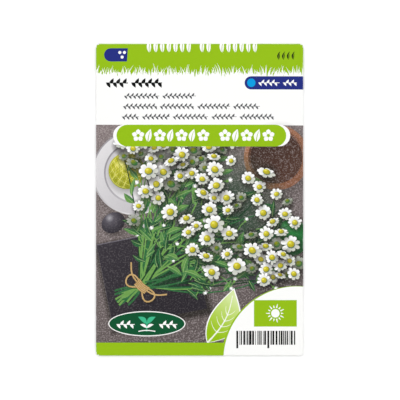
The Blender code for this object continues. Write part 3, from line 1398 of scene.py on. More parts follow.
@dataclass
class Envelope:
    """The printed sheet: front panel with its side flaps, back panel and closing flap.

    closing_corner is the share of the closing flap's length that its round corners take.
    """

    sheet: FoldedSheet
    steps: int = 6
    flap_end_width: float = 4.0
    flap_end_slant: float = 1.4
    closing_corner: float = 0.2
    closing_taper: float = 0.1
    closing_round: float = 4.0

    def front_outline(self) -> Array:
        """The front panel with its side flaps, flat. The flaps' ends are cut at a slant.

        Returns:
            The corners in order.
        """
        s = self.sheet
        reach = s.side_x + np.pi * s.side_radius
        high = s.height / 2 - s.shoulder
        wide = reach + s.flap_width
        end = reach + self.flap_end_width
        slant = (s.flap_width - self.flap_end_width) / self.flap_end_slant
        right = [
            (s.side_x, s.bottom_y), (s.side_x, -high), (end, -high), (wide, -high + slant),
            (wide, high - slant), (end, high), (s.side_x, high), (s.side_x, s.top_y),
        ]
        left = [(-x, y) for x, y in reversed(right)]
        return np.array(right + left, float)

    def back_outline(self) -> Array:
        """The bottom fold and the back panel, flat, below the front panel.

        Returns:
            The corners in order.
        """
        s = self.sheet
        half = s.width / 2 - s.back_inset
        top = s.height / 2 - 2 * s.shoulder
        low = s.bottom_y - np.pi * s.bottom_radius - (top - s.bottom_y)
        return np.array([(-half, low), (half, low), (half, s.bottom_y), (-half, s.bottom_y)])

    def closing_outline(self) -> Array:
        """The top fold and the closing flap, flat, above the front panel.

        Its sides draw in by a square law, and a quarter ellipse rounds each corner off.

        Returns:
            The corners in order.
        """
        s = self.sheet
        half = s.width / 2 - s.back_inset
        start = s.top_y + np.pi * s.top_radius
        length = s.closing_flap - s.top_radius
        corner, count = self.closing_corner, 8
        angle = np.arange(1, count) * np.pi / 2 / (count - 1)
        share = np.concatenate([np.linspace(0, 1 - corner, count), 1 - corner * np.cos(angle)])
        end = np.clip((share - (1 - corner)) / corner, 0, 1)
        wide = half * (1 - self.closing_taper * share**2)
        wide = wide - self.closing_round * (1 - np.sqrt(1 - end**2))
        right = np.stack([wide, start + length * share], 1)
        right = np.concatenate([[(half, s.top_y)], right])
        left = right[::-1] * np.array([-1, 1])
        return np.concatenate([right, left])

    def side_lines(self) -> list[Line]:
        """Lines up the flat sheet where the side folds bend.

        Returns:
            The lines.
        """
        s = self.sheet
        high = s.height / 2 - s.shoulder
        lines = []
        for side in (-1, 1):
            for step in range(self.steps + 1):
                x = side * (s.side_x + np.pi * s.side_radius * step / self.steps)
                lines.append(((x, -high), (x, high)))
        return lines

    def cross_lines(self, start: float, radius: float, direction: int) -> list[Line]:
        """Lines across the flat sheet where the bottom or the top fold bends.

        Args:
            start, radius: Where the fold begins, and its radius.
            direction: 1 for the top fold, -1 for the bottom fold.

        Returns:
            The lines.
        """
        half = self.sheet.width / 2 - self.sheet.back_inset
        lines = []
        for step in range(1, self.steps + 1):
            y = start + direction * np.pi * radius * step / self.steps
            lines.append(((-half, y), (half, y)))
        return lines

    def build(self, front: Artwork, back: Artwork, closing: Artwork) -> list[Object]:
        """Builds the three printed panels.

        Args:
            front, back, closing: The prints of the panels.

        Returns:
            The panels.
        """
        s = self.sheet
        ink, bare = CoatedPaper().make(), BarePaper().make()
        panels = [
            PrintedPanel(
                "printed_front", self.front_outline(), front, s.fold_front, s.paper,
                self.side_lines(),
            ),
            PrintedPanel(
                "printed_back", self.back_outline(), back, s.fold_back, s.paper,
                self.cross_lines(s.bottom_y, s.bottom_radius, -1),
            ),
            PrintedPanel(
                "printed_closing_flap", self.closing_outline(), closing, s.fold_closing,
                s.paper, self.cross_lines(s.top_y, s.top_radius, 1),
            ),
        ]
        return [panel.build(ink, bare) for panel in panels]


def turned(points: Array, angle: float, x: float = 0.0, y: float = 0.0) -> Array:
    """Points turned about the origin by an angle, then moved by (x, y)."""
    cos, sin = math.cos(angle), math.sin(angle)
    return points @ np.array([(cos, sin), (-sin, cos)]) + np.array([x, y])


@dataclass(frozen=True)
class Twig:
    """A printed rule in the shape of a twig: a thin stem with small leaves on both sides."""

    left: float
    right: float
    y: float
    height: float
    ink: Ink
    stem: float = 0.28
    pitch: float = 1.25
    leaf: float = 0.62

    def draw(self, art: Artwork) -> None:
        """Prints the stem, then leaves that lean forward, above and below it in turn.

        Args:
            art: What it is printed on.
        """
        ends = np.array([(self.left, self.y), (self.right, self.y)])
        art.flat(ribbon(ends, [self.stem, self.stem]), self.ink)
        count = max(int((self.right - self.left - 0.4) / self.pitch), 1)
        for number in range(count):
            x = self.left + 0.2 + self.pitch * number
            side = 1 if number % 2 else -1
            reach = self.height / 2
            art.flat(
                almond((x, self.y), (x + 0.8 * reach, self.y + side * reach), self.leaf,
                       -0.12 * side, 0.8, 4),
                self.ink,
            )


@dataclass(frozen=True)
class GrassFringe:
    """The lower edge of the green band: grass that stands up into it, in loose tufts."""

    low: float
    high: float
    blades: int = 190
    teeth: int = 120
    half_width: float = 57.0
    draw_seed: int = 21

    def draw(self, art: Artwork, grass: Ink, band: Ink) -> None:
        """Prints band-coloured tips below the band, then blades of grass that taper upwards.

        Args:
            art: What it is printed on.
            grass, band: The inks below and above the edge.
        """
        random = np.random.default_rng(self.draw_seed)
        rise = self.high - self.low
        for x in np.linspace(-self.half_width, self.half_width, self.teeth):
            x += random.uniform(-0.4, 0.4)
            drop = random.uniform(0.1, 0.45) * rise
            lean = random.uniform(-0.6, 0.6)
            base = self.low + 0.42 * rise
            art.flat(almond((x, base + 1.2), (x + lean, base - drop), 1.1, count=3), band)
        for number, x in enumerate(np.linspace(-self.half_width, self.half_width, self.blades)):
            x += random.uniform(-0.35, 0.35)
            tuft = math.sin(number * 0.47) + 0.6 * math.sin(number * 1.13 + 1)
            tall = rise * (0.52 + 0.14 * tuft + random.uniform(-0.08, 0.26))
            lean = random.uniform(-1.9, 1.9) + 0.7 * math.sin(number * 0.21)
            line = arc_line((x, self.low), (x + lean, self.low + tall), lean * 0.05, 5)
            art.flat(ribbon(line, np.linspace(0.72, 0.06, 5)), grass)


@dataclass(frozen=True)
class Blossom:
    """A printed blossom: broad, blunt petals that stand apart, round a domed yellow middle.

    squash is how much of its height shows where it faces sideways, along tilt. rise moves
    the middle up on such a one, so that its petals seem to hang. A deep one lies in the
    shade of the others.
    """

    x: float
    y: float
    radius: float
    turn: float
    petals: int = 8
    squash: float = 1.0
    tilt: float = 0.0
    rise: float = 0.0
    deep: bool = False

    def place(self, points: Array) -> Array:
        """Points of a blossom seen squarely, squashed and tilted to how this one faces."""
        return turned(points * np.array([1.0, self.squash]), self.tilt, self.x, self.y)

    def petal(self, angle: float, reach: float, width: float) -> Array:
        """A petal: narrow at its foot, widest near its end, and blunt.

        Args:
            angle: Where it points, before the tilt.
            reach, width: Its size, as shares of the radius.

        Returns:
            Its outline.
        """
        along = np.array([0.22, 0.5, 0.8, 0.97]) * reach * self.radius
        half = np.array([0.4, 0.85, 1.0, 0.5]) * width * self.radius
        outline = np.concatenate([np.stack([along, half], 1), np.stack([along, -half], 1)[::-1]])
        return self.place(turned(outline, angle))

    def draw(self, art: Artwork) -> None:
        """Prints a soft shadow, the petals, those away from the light greyer, and the middle.

        Args:
            art: What it is printed on.
        """
        r = self.radius
        random = np.random.default_rng(int(abs(self.x * 131 + self.y * 17) * 10))
        fall = (self.x + 0.12 * r, self.y - 0.2 * r)
        tone = Tone(Ink.SHADOW, None, Blend.RADIAL, fall, (1.35 * r, 0), (1.0, 0.0), 0.3)
        art.add(ellipse(*fall, 1.35 * r, 1.35 * r, count=12), tone)
        foot = (self.x, self.y + self.rise * r)
        wide = 2.35 / self.petals
        for step in range(self.petals):
            angle = self.turn + 2 * np.pi * step / self.petals + random.uniform(-0.09, 0.09)
            sun = math.cos(angle + self.tilt - 2.2)
            near, far = (
                (Ink.PETAL_SHADE, Ink.PETAL) if sun > -0.3 else (Ink.PETAL_DEEP, Ink.PETAL_SHADE)
            )
            if self.deep:
                near, far = Ink.PETAL_RIM, Ink.PETAL_DEEP if sun > -0.3 else Ink.PETAL_RIM
            outline = self.petal(angle, random.uniform(0.84, 1.06), wide * random.uniform(0.8, 1))
            art.add(outline, Tone(near, far, Blend.RADIAL, foot, (0.75 * r, 0), grain=0.08))
        core = 0.38 * r
        lift = self.rise * r
        tall = core if self.squash > 0.7 else 1.3 * core
        edge = ellipse(0.03 * r, lift - 0.08 * r, core * 1.12, tall * 1.12, count=10)
        art.add(self.place(edge), Tone(Ink.LEAF_DARK, cover=(0.6, 0.6)))
        glow = (self.x - 0.12 * r, self.y + 0.14 * r + lift)
        lit, dim = (Ink.POLLEN_DARK, Ink.LEAF) if self.deep else (Ink.POLLEN, Ink.POLLEN_DARK)
        art.add(self.place(ellipse(0, lift, core, tall, count=12)),
                Tone(lit, dim, Blend.RADIAL, glow, (core * 1.6, 0), grain=0.3))
        if self.deep:
            return
        tip = ellipse(-0.3 * core, lift + 0.35 * tall, 0.4 * core, 0.32 * tall, count=6)
        art.add(self.place(tip), Tone(Ink.POLLEN_TIP, cover=(0.65, 0.65)))


@dataclass(frozen=True)
class Bud:
    """A printed bud: white petals still closed, in a green cup."""

    x: float
    y: float
    size: float
    angle: float

    def draw(self, art: Artwork) -> None:
        """Prints three petal tips and the cup over their feet.

        Args:
            art: What it is printed on.
        """
        for lean in (-0.45, 0.45, 0.0):
            tip = turned(np.array([(self.size, 0.0)]), self.angle + lean, self.x, self.y)[0]
            blade = almond((self.x, self.y), tuple(tip), self.size * 0.55, 0.0, 1.2, 5)
            art.add(blade, Tone(Ink.PETAL_DEEP if lean else Ink.PETAL, grain=0.1))
        foot = turned(np.array([(-0.1 * self.size, 0.0)]), self.angle, self.x, self.y)[0]
        art.add(ellipse(foot[0], foot[1], self.size * 0.34, self.size * 0.28, self.angle, 10),
                Tone(Ink.LEAF_LIGHT, grain=0.2))


@dataclass(frozen=True)
class Leaf:
    """A printed leaf: one side in light, one in shade, with a pale rib and side veins."""

    base: Place
    tip: Place
    width: float
    bend: float = 0.08
    veins: int = 3
    light: Ink = Ink.LEAF_LIGHT
    dark: Ink = Ink.LEAF
    rib: Ink = Ink.LEAF_RIB

    def draw(self, art: Artwork) -> None:
        """Prints the blade, darker on one side, the rib along its middle, and the veins.

        Args:
            art: What it is printed on.
        """
        base, tip = np.array(self.base, float), np.array(self.tip, float)
        run = tip - base
        length = float(np.hypot(*run))
        ahead = run / length
        aside = np.array([-ahead[1], ahead[0]])
        art.add(
            almond(self.base, self.tip, self.width, self.bend, 0.85, 6),
            Tone(self.dark, self.light, Blend.LINEAR, tuple(base - aside * self.width / 2),
                 tuple(aside * self.width), grain=0.3),
        )
        t = np.linspace(0.02, 0.95, 6)[:, None]
        middle = base + run * t + aside * (self.bend * length * np.sin(np.pi * t))
        art.add(ribbon(middle, np.linspace(0.34, 0.12, 6)), Tone(self.rib, cover=(0.8, 0.8)))
        for number in range(1, self.veins + 1):
            share = number / (self.veins + 1.6)
            at = base + run * share + aside * self.bend * length * math.sin(math.pi * share)
            reach = self.width * 0.42 * math.sin(math.pi * share**0.85)
            for side in (-1, 1):
                end = at + ahead * reach * 0.9 + aside * side * reach
                line = arc_line(tuple(at), tuple(end), 0.12 * side, 4)
                art.add(ribbon(line, np.linspace(0.16, 0.06, 4)),
                        Tone(self.rib, cover=(0.55, 0.55)))


def soft_disc(
    art: Artwork, x: float, y: float, half_x: float, half_y: float, tone: Tone, turn: float = 0.0,
    rings: tuple[float, ...] = (0.8, 0.55, 0.3), count: int = 40,
) -> None:
    """Prints an ellipse whose tone changes smoothly, with hidden rings to carry the change.

    Args:
        art: What it is printed on.
        x, y, half_x, half_y, turn: The ellipse.
        tone: Its tone.
        rings: The rings' sizes, as shares of its own.
        count: How many points on its rim.
    """
    art.add(ellipse(x, y, half_x, half_y, turn, count), tone)
    for ring in rings:
        art.add(ellipse(x, y, half_x * ring, half_y * ring, turn, max(int(count * ring), 10)),
                Tone(tone.near, cover=(0.0, 0.0)))


def soft_shadow(art: Artwork, x: float, y: float, half: float, strength: float = 0.7) -> None:
    """Prints a round shadow that fades out to its rim."""
    tone = Tone(Ink.SHADOW, None, Blend.RADIAL, (x, y), (half, 0), (strength, 0.0), 0.4)
    soft_disc(art, x, y, half, half, tone, rings=(0.85, 0.7, 0.5), count=32)


@dataclass
class GardenTable:
    """The printed picture: a tied bunch of flowers on a gardener's table, from above.

    The blossoms' radii and stems start and end at the pairs given. fan is the bunch's
    spread in degrees, and overlap how near neighbours come, as a share of their radii.
    """

    art: Artwork = field(default_factory=Artwork)
    draw_seed: int = 8
    blossoms: int = 92
    low: float = PICTURE_FOOT
    tie: Place = (-30.0, -45.0)
    radii: tuple[float, float] = (3.0, 5.4)
    stems: tuple[float, float] = (26.0, 90.0)
    fan: tuple[float, float] = (-2.0, 98.0)
    overlap: tuple[float, float] = (0.62, 0.95)
    low_left: Place = (-49.0, -52.0)
    right_limit: tuple[float, float] = (43.0, 57.0)
    top_limit: tuple[float, float] = (17.0, 35.0)
    nearest: float = 45.0
    passes: int = 60
    step: float = 0.25

    def stone(self) -> None:
        """The stone top: lighter at its upper left, darker below, speckled all over."""
        outline = np.array([(-BEYOND_EDGE, self.low), (BEYOND_EDGE, self.low),
                            (BEYOND_EDGE, 38.66), (-BEYOND_EDGE, 39.08)])
        tone = Tone(
            Ink.STONE_LIGHT, Ink.STONE_DEEP, Blend.LINEAR, (-40, 40), (50, -125), grain=1.0
        )
        self.art.add(outline, tone)

    def enamel_dish(self, x: float, y: float, r: float) -> None:
        """An enamel dish: a pale rim, a sloping side and a flat well, each shaded.

        Args:
            x, y, r: Its middle and radius.
        """
        soft_shadow(self.art, x + 1.5, y - 2.5, r * 1.22, 0.75)
        for share, near, far in (
            (1.0, Ink.GLAZE_DARK, Ink.GLAZE), (0.965, Ink.GLAZE, Ink.GLAZE_SHADE),
            (0.72, Ink.GLAZE_DARK, Ink.GLAZE_SHADE), (0.68, Ink.GLAZE_SHADE, Ink.GLAZE),
        ):
            tone = Tone(near, far, Blend.LINEAR, (x - r * share, y + r * share),
                        (1.6 * r * share, -1.6 * r * share), grain=0.12)
            soft_disc(self.art, x, y, r * share, r * share, tone, rings=(0.85,), count=56)

    def clay_dish(self, x: float, y: float, r: float) -> None:
        """A clay dish: a lit rim, a dark wall and an earthy bed.

        Args:
            x, y, r: Its middle and radius.
        """
        soft_shadow(self.art, x + 1, y - 2, r * 1.25, 0.7)
        for share, near, far in (
            (1.0, Ink.CLAY_LIGHT, Ink.CLAY), (0.87, Ink.CLAY_DARK, Ink.CLAY),
            (0.8, Ink.CLAY_DEEP, Ink.CLAY_DARK),
        ):
            tone = Tone(near, far, Blend.LINEAR, (x - r * share, y + r * share),
                        (1.5 * r * share, -1.5 * r * share), grain=0.7)
            soft_disc(self.art, x, y, r * share, r * share, tone, rings=(0.85,), count=48)

    def pebble(
        self, x: float, y: float, half_x: float, half_y: float, turn: float,
        light: Ink, dark: Ink, grain: float = 0.2,
    ) -> None:
        """A round stone or ball: light falls on its upper left and fades to a dark rim.

        Args:
            x, y: Its middle.
            half_x, half_y, turn: Its size and turn.
            light, dark, grain: Its inks and its speckle.
        """
        size = max(half_x, half_y)
        soft_shadow(self.art, x + 0.12 * size, y - 0.2 * size, size * 1.25, 0.75)
        glow = (x - 0.3 * size, y + 0.38 * size)
        tone = Tone(light, dark, Blend.RADIAL, glow, (1.35 * size, 0), grain=grain)
        soft_disc(self.art, x, y, half_x, half_y, tone, turn)
        shine = Tone(Ink.PETAL, None, Blend.RADIAL, glow, (0.36 * size, 0), (0.5, 0.0))
        soft_disc(self.art, *glow, 0.36 * size, 0.36 * size, shine, rings=(0.5,), count=14)

    def twine(self, x: float, y: float, r: float) -> None:
        """A ball of garden twine: a straw disc wound with turns that cross each other.

        Args:
            x, y, r: Its middle and radius.
        """
        self.pebble(x, y, r, r, 0.0, Ink.BUTTER, Ink.BUTTER_DARK, 0.3)
        for wrap, (angle, lay) in enumerate(((0.5, 1), (2.4, 1), (1.5, -1))):
            for number in range(-4, 5):
                offset = number * r * 0.17 + wrap * 0.05 * r
                half = math.sqrt(max(r * r * 0.96 - offset * offset, 0.0)) * 0.92
                line = arc_line((-half, offset), (half, offset), 0.09 * lay * (1 + abs(number) / 4))
                keep = np.hypot(line[:, 0], line[:, 1]) < r * 0.99
                line = turned(line[keep], angle, x, y)
                if len(line) > 3:
                    widths = np.full(len(line), 0.36)
                    self.art.add(ribbon(line, widths),
                                 Tone(Ink.BUTTER_DARK if number % 2 else Ink.BUTTER_PALE,
                                      cover=(0.6, 0.6), grain=0.3))

    def slate(self, x: float, y: float, wide: float, tall: float, turn: float) -> None:
        """A slate board with a lit bevel along its upper edges.

        Args:
            x, y: Its middle.
            wide, tall, turn: Its size and turn.
        """
        for grow, cover in ((2.6, 0.25), (1.5, 0.3), (0.6, 0.4)):
            edge = box(-wide / 2 - grow, -tall / 2 - grow, wide / 2 + grow, tall / 2 + grow)
            self.art.add(turned(edge, turn, x + 1, y - 1.6), Tone(Ink.SHADOW, cover=(cover, cover)))
        body = box(-wide / 2, -tall / 2, wide / 2, tall / 2)
        self.art.add(turned(body, turn, x, y), Tone(Ink.CHARCOAL_PALE, grain=0.3))
        inner = box(-wide / 2 + 0.1, -tall / 2, wide / 2, tall / 2 - 0.5)
        lit = Tone(Ink.CHARCOAL_LIGHT, Ink.CHARCOAL, Blend.LINEAR, (x - wide / 2, y + tall / 2),
                   (wide * 0.7, -tall * 0.7), grain=0.25)
        self.art.add(turned(inner, turn, x, y), lit)

    def spread(self, count: int) -> tuple[Array, Array]:
        """Middles and radii of the blossoms of a bunch that fans out from its tie.

        Each starts at a random angle and distance from the tie. Neighbours nearer than their
        sizes ask for move apart in equal steps, all at once. Each keeps to the picture within
        a limit of its own, so that they end in no straight row, and off the white corner.

        Args:
            count: How many blossoms.

        Returns:
            Their middles and radii.
        """
        random = np.random.default_rng(self.draw_seed)
        radius = random.uniform(*self.radii, count)
        angle = np.radians(random.uniform(*self.fan, count))
        short, tall = self.stems
        reach = short + (tall - short) * np.sqrt(random.random(count))
        tie = np.array(self.tie)
        places = tie + reach[:, None] * np.stack([np.cos(angle), np.sin(angle)], 1)
        corner = np.array(WHITE_CORNER)
        limit_x = random.uniform(*self.right_limit, count)
        limit = np.stack([limit_x, random.uniform(*self.top_limit, count)], 1)
        want = (radius[:, None] + radius[None]) * random.uniform(*self.overlap, count)[:, None]
        for _ in range(self.passes):
            gap = places[:, None] - places[None]
            away = np.hypot(gap[..., 0], gap[..., 1]) + np.eye(count) * 1e3
            push = np.maximum(want - away, 0) / away
            places = places + self.step * (gap * push[..., None]).sum(1)
            places = np.clip(places, self.low_left, limit)
            off = places - corner
            far = np.hypot(off[:, 0], off[:, 1])[:, None]
            places = np.where(far < self.nearest, corner + off / far * self.nearest, places)
        return places, radius

    def bunch(self) -> None:
        """Prints the bunch: stems from the tie, leaves and buds along them, then blossoms."""
        random = np.random.default_rng(self.draw_seed + 1)
        places, radius = self.spread(self.blossoms)
        tie = np.array(self.tie)
        stems = []
        for number, place in enumerate(places):
            start = tie + random.uniform(-1.8, 1.8, 2)
            line = arc_line(tuple(start), tuple(place), random.uniform(-0.13, 0.13), 9)
            stems.append(line)
            ink = (Ink.LEAF, Ink.LEAF_LIGHT, Ink.LEAF_DARK)[number % 3]
            if number % 5 < 3:
                self.art.add(ribbon(line, np.linspace(1.0, 0.45, 9)), Tone(ink, grain=0.2))
        for number in range(14):
            end = tie + (random.uniform(-15, -7), random.uniform(-12, -2))
            line = arc_line(tuple(end), tuple(tie + random.uniform(-1.4, 1.4, 2)),
                            random.uniform(-0.08, 0.08), 4)
            ink = (Ink.LEAF, Ink.LEAF_LIGHT)[number % 2]
            self.art.add(ribbon(line, np.full(4, 1.0)), Tone(ink, grain=0.2))
        for number, line in enumerate(stems):
            for share in (3, 5, 7):
                if random.random() < 0.25:
                    continue
                start = line[share]
                lean = math.atan2(*(line[share + 1] - line[share])[::-1])
                lean += random.choice([-1, 1]) * random.uniform(0.4, 1.1)
                length = random.uniform(6.0, 10.5)
                tip = start + length * np.array([math.cos(lean), math.sin(lean)])
                if number % 5 == 3:
                    self.art.add(ribbon(arc_line(tuple(start), tuple(tip), 0.1, 4),
                                   np.linspace(0.5, 0.35, 4)), Tone(Ink.LEAF_LIGHT, grain=0.2))
                    Bud(tip[0], tip[1], random.uniform(2.0, 2.8), lean).draw(self.art)
                    continue
                shades = ((Ink.LEAF_LIGHT, Ink.LEAF), (Ink.LEAF, Ink.LEAF_DARK))[number % 2]
                Leaf(tuple(start), tuple(tip), random.uniform(2.2, 3.6),
                     random.uniform(-0.1, 0.1), 0, *shades).draw(self.art)
        for rank, number in enumerate(random.permutation(len(places))):
            sideways = random.random() < 0.35
            Blossom(
                *places[number], radius[number], random.uniform(0, 2 * math.pi),
                (8, 9, 10, 11)[number % 4],
                random.uniform(0.5, 0.65) if sideways else random.uniform(0.8, 1.0),
                random.uniform(-0.5, 0.5), 0.22 if sideways else 0.0, rank < len(places) // 4,
            ).draw(self.art)

    def knot(self) -> None:
        """Prints the twine round the stems: five turns, and a bow with two loops and ends."""
        x, y = self.tie
        across = math.radians(138)
        for side in (-1, 1):
            angle = across + (0.0 if side > 0 else np.pi)
            for half in (-1, 1):
                share = np.linspace(0.02, 0.5, 8)
                ring = np.stack(
                    [9.0 * np.sin(np.pi * share), 3.2 * half * np.sin(2 * np.pi * share)], 1
                )
                line = turned(ring, angle + 0.25 * side, x, y)
                self.art.add(ribbon(line + (0.4, -0.6), np.full(8, 1.0)),
                             Tone(Ink.SHADOW, cover=(0.4, 0.4)))
                self.art.add(ribbon(line, np.full(8, 0.8)), Tone(Ink.TWINE, grain=0.5))
            end = turned(np.array([(12.5, -5.5 * side)]), angle, x, y)[0]
            tail = arc_line((x, y), tuple(end), 0.16 * side, 8)
            self.art.add(ribbon(tail, np.full(8, 0.8)), Tone(Ink.TWINE, grain=0.5))
        for step in range(-2, 3):
            line = turned(arc_line((-3.6, step * 0.85), (3.6, step * 0.85), 0.08, 7), across, x, y)
            self.art.add(ribbon(line, np.full(7, 1.0)), Tone(Ink.TWINE_DARK, grain=0.4))
            self.art.add(ribbon(line, np.full(7, 0.7)), Tone(Ink.TWINE, grain=0.5))

    def draw(self) -> None:
        """Prints the picture from the stone up."""
        self.stone()
        self.slate(-25.0, -40.0, 50.0, 44.0, 0.2)
        self.enamel_dish(-34.0, 14.0, 22.0)
        self.twine(-38.0, 15.0, 9.5)
        self.clay_dish(40.0, 22.0, 17.0)
        self.pebble(47.0, -20.0, 10.5, 9.4, 0.3, Ink.BALL_GREEN, Ink.BALL_GREEN_DARK)
        self.pebble(-6.0, 24.0, 9.5, 7.0, -0.35, Ink.CHARCOAL_PALE, Ink.CHARCOAL)
        self.pebble(36.0, -37.0, 12.0, 8.0, 0.3, Ink.CHARCOAL_PALE, Ink.CHARCOAL)
        self.pebble(-45.0, -12.0, 6.4, 5.2, 0.5, Ink.CHARCOAL_PALE, Ink.CHARCOAL)
        deep = Tone(Ink.LEAF_DARK, None, Blend.RADIAL, (10.0, -10.0), (40.0, 0), (1.0, 0.0), 0.3)
        soft_disc(self.art, 10.0, -10.0, 40.0, 38.0, deep, rings=(0.8, 0.6), count=36)
        self.bunch()
        self.knot()


@dataclass
class FrontPrint:
    """The print of the front, as it lies on the flat sheet."""

    art: Artwork = field(default_factory=Artwork)
    bleed: float = BEYOND_EDGE
    band_low: float = 66.4
    band_high: float = 101.0
    grass: tuple[float, float] = (63.8, 71.4)
    tab_y: float = 60.9
    title_y: float = 60.8
    badge_low: float = 27.7
    badge_high: float = 39.06
    sun: Place = (39.45, -59.2)
    bars: tuple[float, float] = (19.1, 50.6)
    bar_module: float = 0.33
    plaque_middle: Place = (-27.5, -64.6)
    wear_x: float = 53.7

    def band(self) -> None:
        """The green band, which runs on over the top fold, and the leaves cut by the fold."""
        self.art.flat(box(-self.bleed, self.band_low, self.bleed, self.band_high), Ink.LIME)
        for number in range(17):
            x = -26.2 + 3.45 * number
            if number in (7, 10):
                continue
            self.art.flat(almond((x, 76.5), (x + 0.5, 84.4), 2.3, 0.06, 0.8, 6), Ink.PAPER)
            self.art.curve((x, 76.4), (x + 0.4, 82.5), 0.05, 5, 0.3, Ink.LIME)

    def header(self) -> None:
        """The grass under the green band, and the two dark tabs."""
        self.band()
        GrassFringe(*self.grass).draw(self.art, Ink.PAPER, Ink.LIME)
        tab = capsule(-49.8, 72.0, -37.4, 78.9, round_right=False)
        tab[-2, 0] -= 0.5
        self.art.flat(tab, Ink.NAVY)
        for x, y in ((-41.6, 76.7), (-39.2, 76.7), (-40.4, 74.3)):
            self.art.flat(ellipse(x, y, 0.82, 0.82, count=14), Ink.PAPER)
        for number in range(4):
            x = 41.2 + 2.5 * number
            self.art.flat(almond((x, 72.9), (x + 0.7, 77.3), 1.35, 0.1, 0.8, 6), Ink.BLACK)
            self.art.curve((x, 73.3), (x + 0.6, 76.6), 0.08, 4, 0.2, Ink.LIME)
        label = capsule(23.4, self.tab_y - 3.5, self.bleed, self.tab_y + 3.4, round_right=False)
        self.art.flat(label, Ink.NAVY)
        self.art.flat(ellipse(26.9, self.tab_y, 2.2, 2.2, count=24), Ink.CYAN)
        for left, right in ((30.6, 41.6), (43.4, 50.6)):
            Twig(left, right, self.tab_y, 3.5, Ink.PAPER, 0.3, 1.35, 1.1).draw(self.art)

    def title(self) -> None:
        """A bold row of leaves, and three rows of fine twigs under it."""
        for left, right in ((-48.8, -37.4), (-35.6, -19.6)):
            Twig(left, right, self.title_y, 5.0, Ink.BLACK, 0.55, 1.7, 1.7).draw(self.art)
        rows = (
            (54.0, ((-39.4, -21.0), (-19.4, -1.9))),
            (48.6, ((-39.9, -22.2), (-20.8, -3.0), (-1.2, 15.8), (17.4, 31.4))),
            (43.2, ((-40.5, -31.6), (-30.0, -15.6), (-14.0, 4.4), (6.2, 19.2), (20.8, 38.7))),
        )
        for y, words in rows:
            for left, right in words:
                Twig(left, right, y, 3.4, Ink.GREY, 0.24, 1.15, 0.95).draw(self.art)

    def badge(self) -> None:
        """The green bar with its white ends, and a row of white blossoms and leaves on it."""
        self.art.flat(capsule(-45.1, self.badge_low + 0.1, 47.2, self.badge_high), Ink.PAPER)
        self.art.flat(capsule(-43.3, self.badge_low, 45.1, self.badge_high), Ink.LIME)
        for number in range(13):
            if number == 7:
                continue
            x, y = -32.0 + 5.65 * number, 33.4
            if number % 2 == 0:
                for petal in range(5):
                    angle = np.pi / 2 + petal * 2 * np.pi / 5
                    tip = (x + 3.35 * math.cos(angle), y + 3.35 * math.sin(angle))
                    self.art.flat(almond((x, y), tip, 2.5, 0.0, 1.45, 6), Ink.PAPER)
                self.art.flat(ellipse(x, y, 0.85, 0.85, count=14), Ink.LIME)
            else:
                self.art.flat(almond((x - 0.6, y - 3.4), (x + 0.9, y + 3.4), 3.3, 0.06, 0.85, 8),
                              Ink.PAPER)
                rib = arc_line((x - 0.6, y - 3.4), (x + 0.6, y + 2.2), 0.05, 6)
                self.art.flat(ribbon(rib, np.linspace(0.5, 0.2, 6)), Ink.LIME)

    def corner(self) -> None:
        """The white round corner with its fine green rim, the sun box and the bars."""
        self.art.flat(ellipse(50.25, -83.9, 38.95, 38.95, count=110), Ink.LIME)
        self.art.flat(ellipse(*WHITE_CORNER, 38.3, 38.3, count=110), Ink.PAPER)
        x, y = self.sun
        self.art.flat(box(28.3, y - 6.9, 50.6, y + 6.9), Ink.LIME)
        for ray in range(14):
            angle = 2 * np.pi * ray / 14
            ends = np.array([(2.9, 0.0), (4.9 if ray % 2 else 4.2, 0.0)])
            self.art.flat(ribbon(turned(ends, angle, x, y), [0.75, 0.3]), Ink.PAPER)
        self.art.flat(ellipse(x, y, 2.2, 2.2, count=26), Ink.PAPER)
        random = np.random.default_rng(17)
        place, end = self.bars
        while place < end - 0.3:
            wide = self.bar_module * int(random.choice([1, 2, 2, 3, 4]))
            gap = self.bar_module * int(random.choice([1, 1, 2, 2]))
            low = -77.4 if place < 20 or abs(place - 34.8) < 0.6 or place > 49.4 else -75.6
            self.art.flat(box(place, low, min(place + wide, end), -68.3), Ink.BLACK)
            place += wide + gap

    def leaf_mark(self) -> None:
        """A plain leaf beside the corner, from lime at its foot to pale lime at its tip."""
        base, tip = (4.2, -74.3), (17.6, -46.8)
        blade = almond(base, tip, 15.0, -0.1, 0.86, 16)
        self.art.add(almond((3.8, -74.5), (18.0, -46.0), 16.2, -0.1, 0.86, 16), Tone(Ink.PAPER))
        self.art.add(blade, Tone(Ink.LIME, Ink.LIME_PALE, Blend.LINEAR, (4, -68), (12, 18)))
        run = np.array(tip) - np.array(base)
        aside = np.array([-run[1], run[0]])
        t = np.linspace(0, 0.9, 9)[:, None]
        rib = np.array(base) + run * t - 0.1 * aside * np.sin(np.pi * t)
        self.art.add(ribbon(rib, np.linspace(0.9, 0.3, 9)), Tone(Ink.PAPER, cover=(0.9, 0.9)))
        for number in range(1, 5):
            at = rib[1 + number]
            for side in (-1, 1):
                end = at + run * 0.13 + aside * side * (0.2 - 0.028 * number)
                line = arc_line(tuple(at), tuple(end), 0.1 * side, 5)
                self.art.add(ribbon(line, np.linspace(0.45, 0.15, 5)),
                             Tone(Ink.PAPER, cover=(0.85, 0.85)))

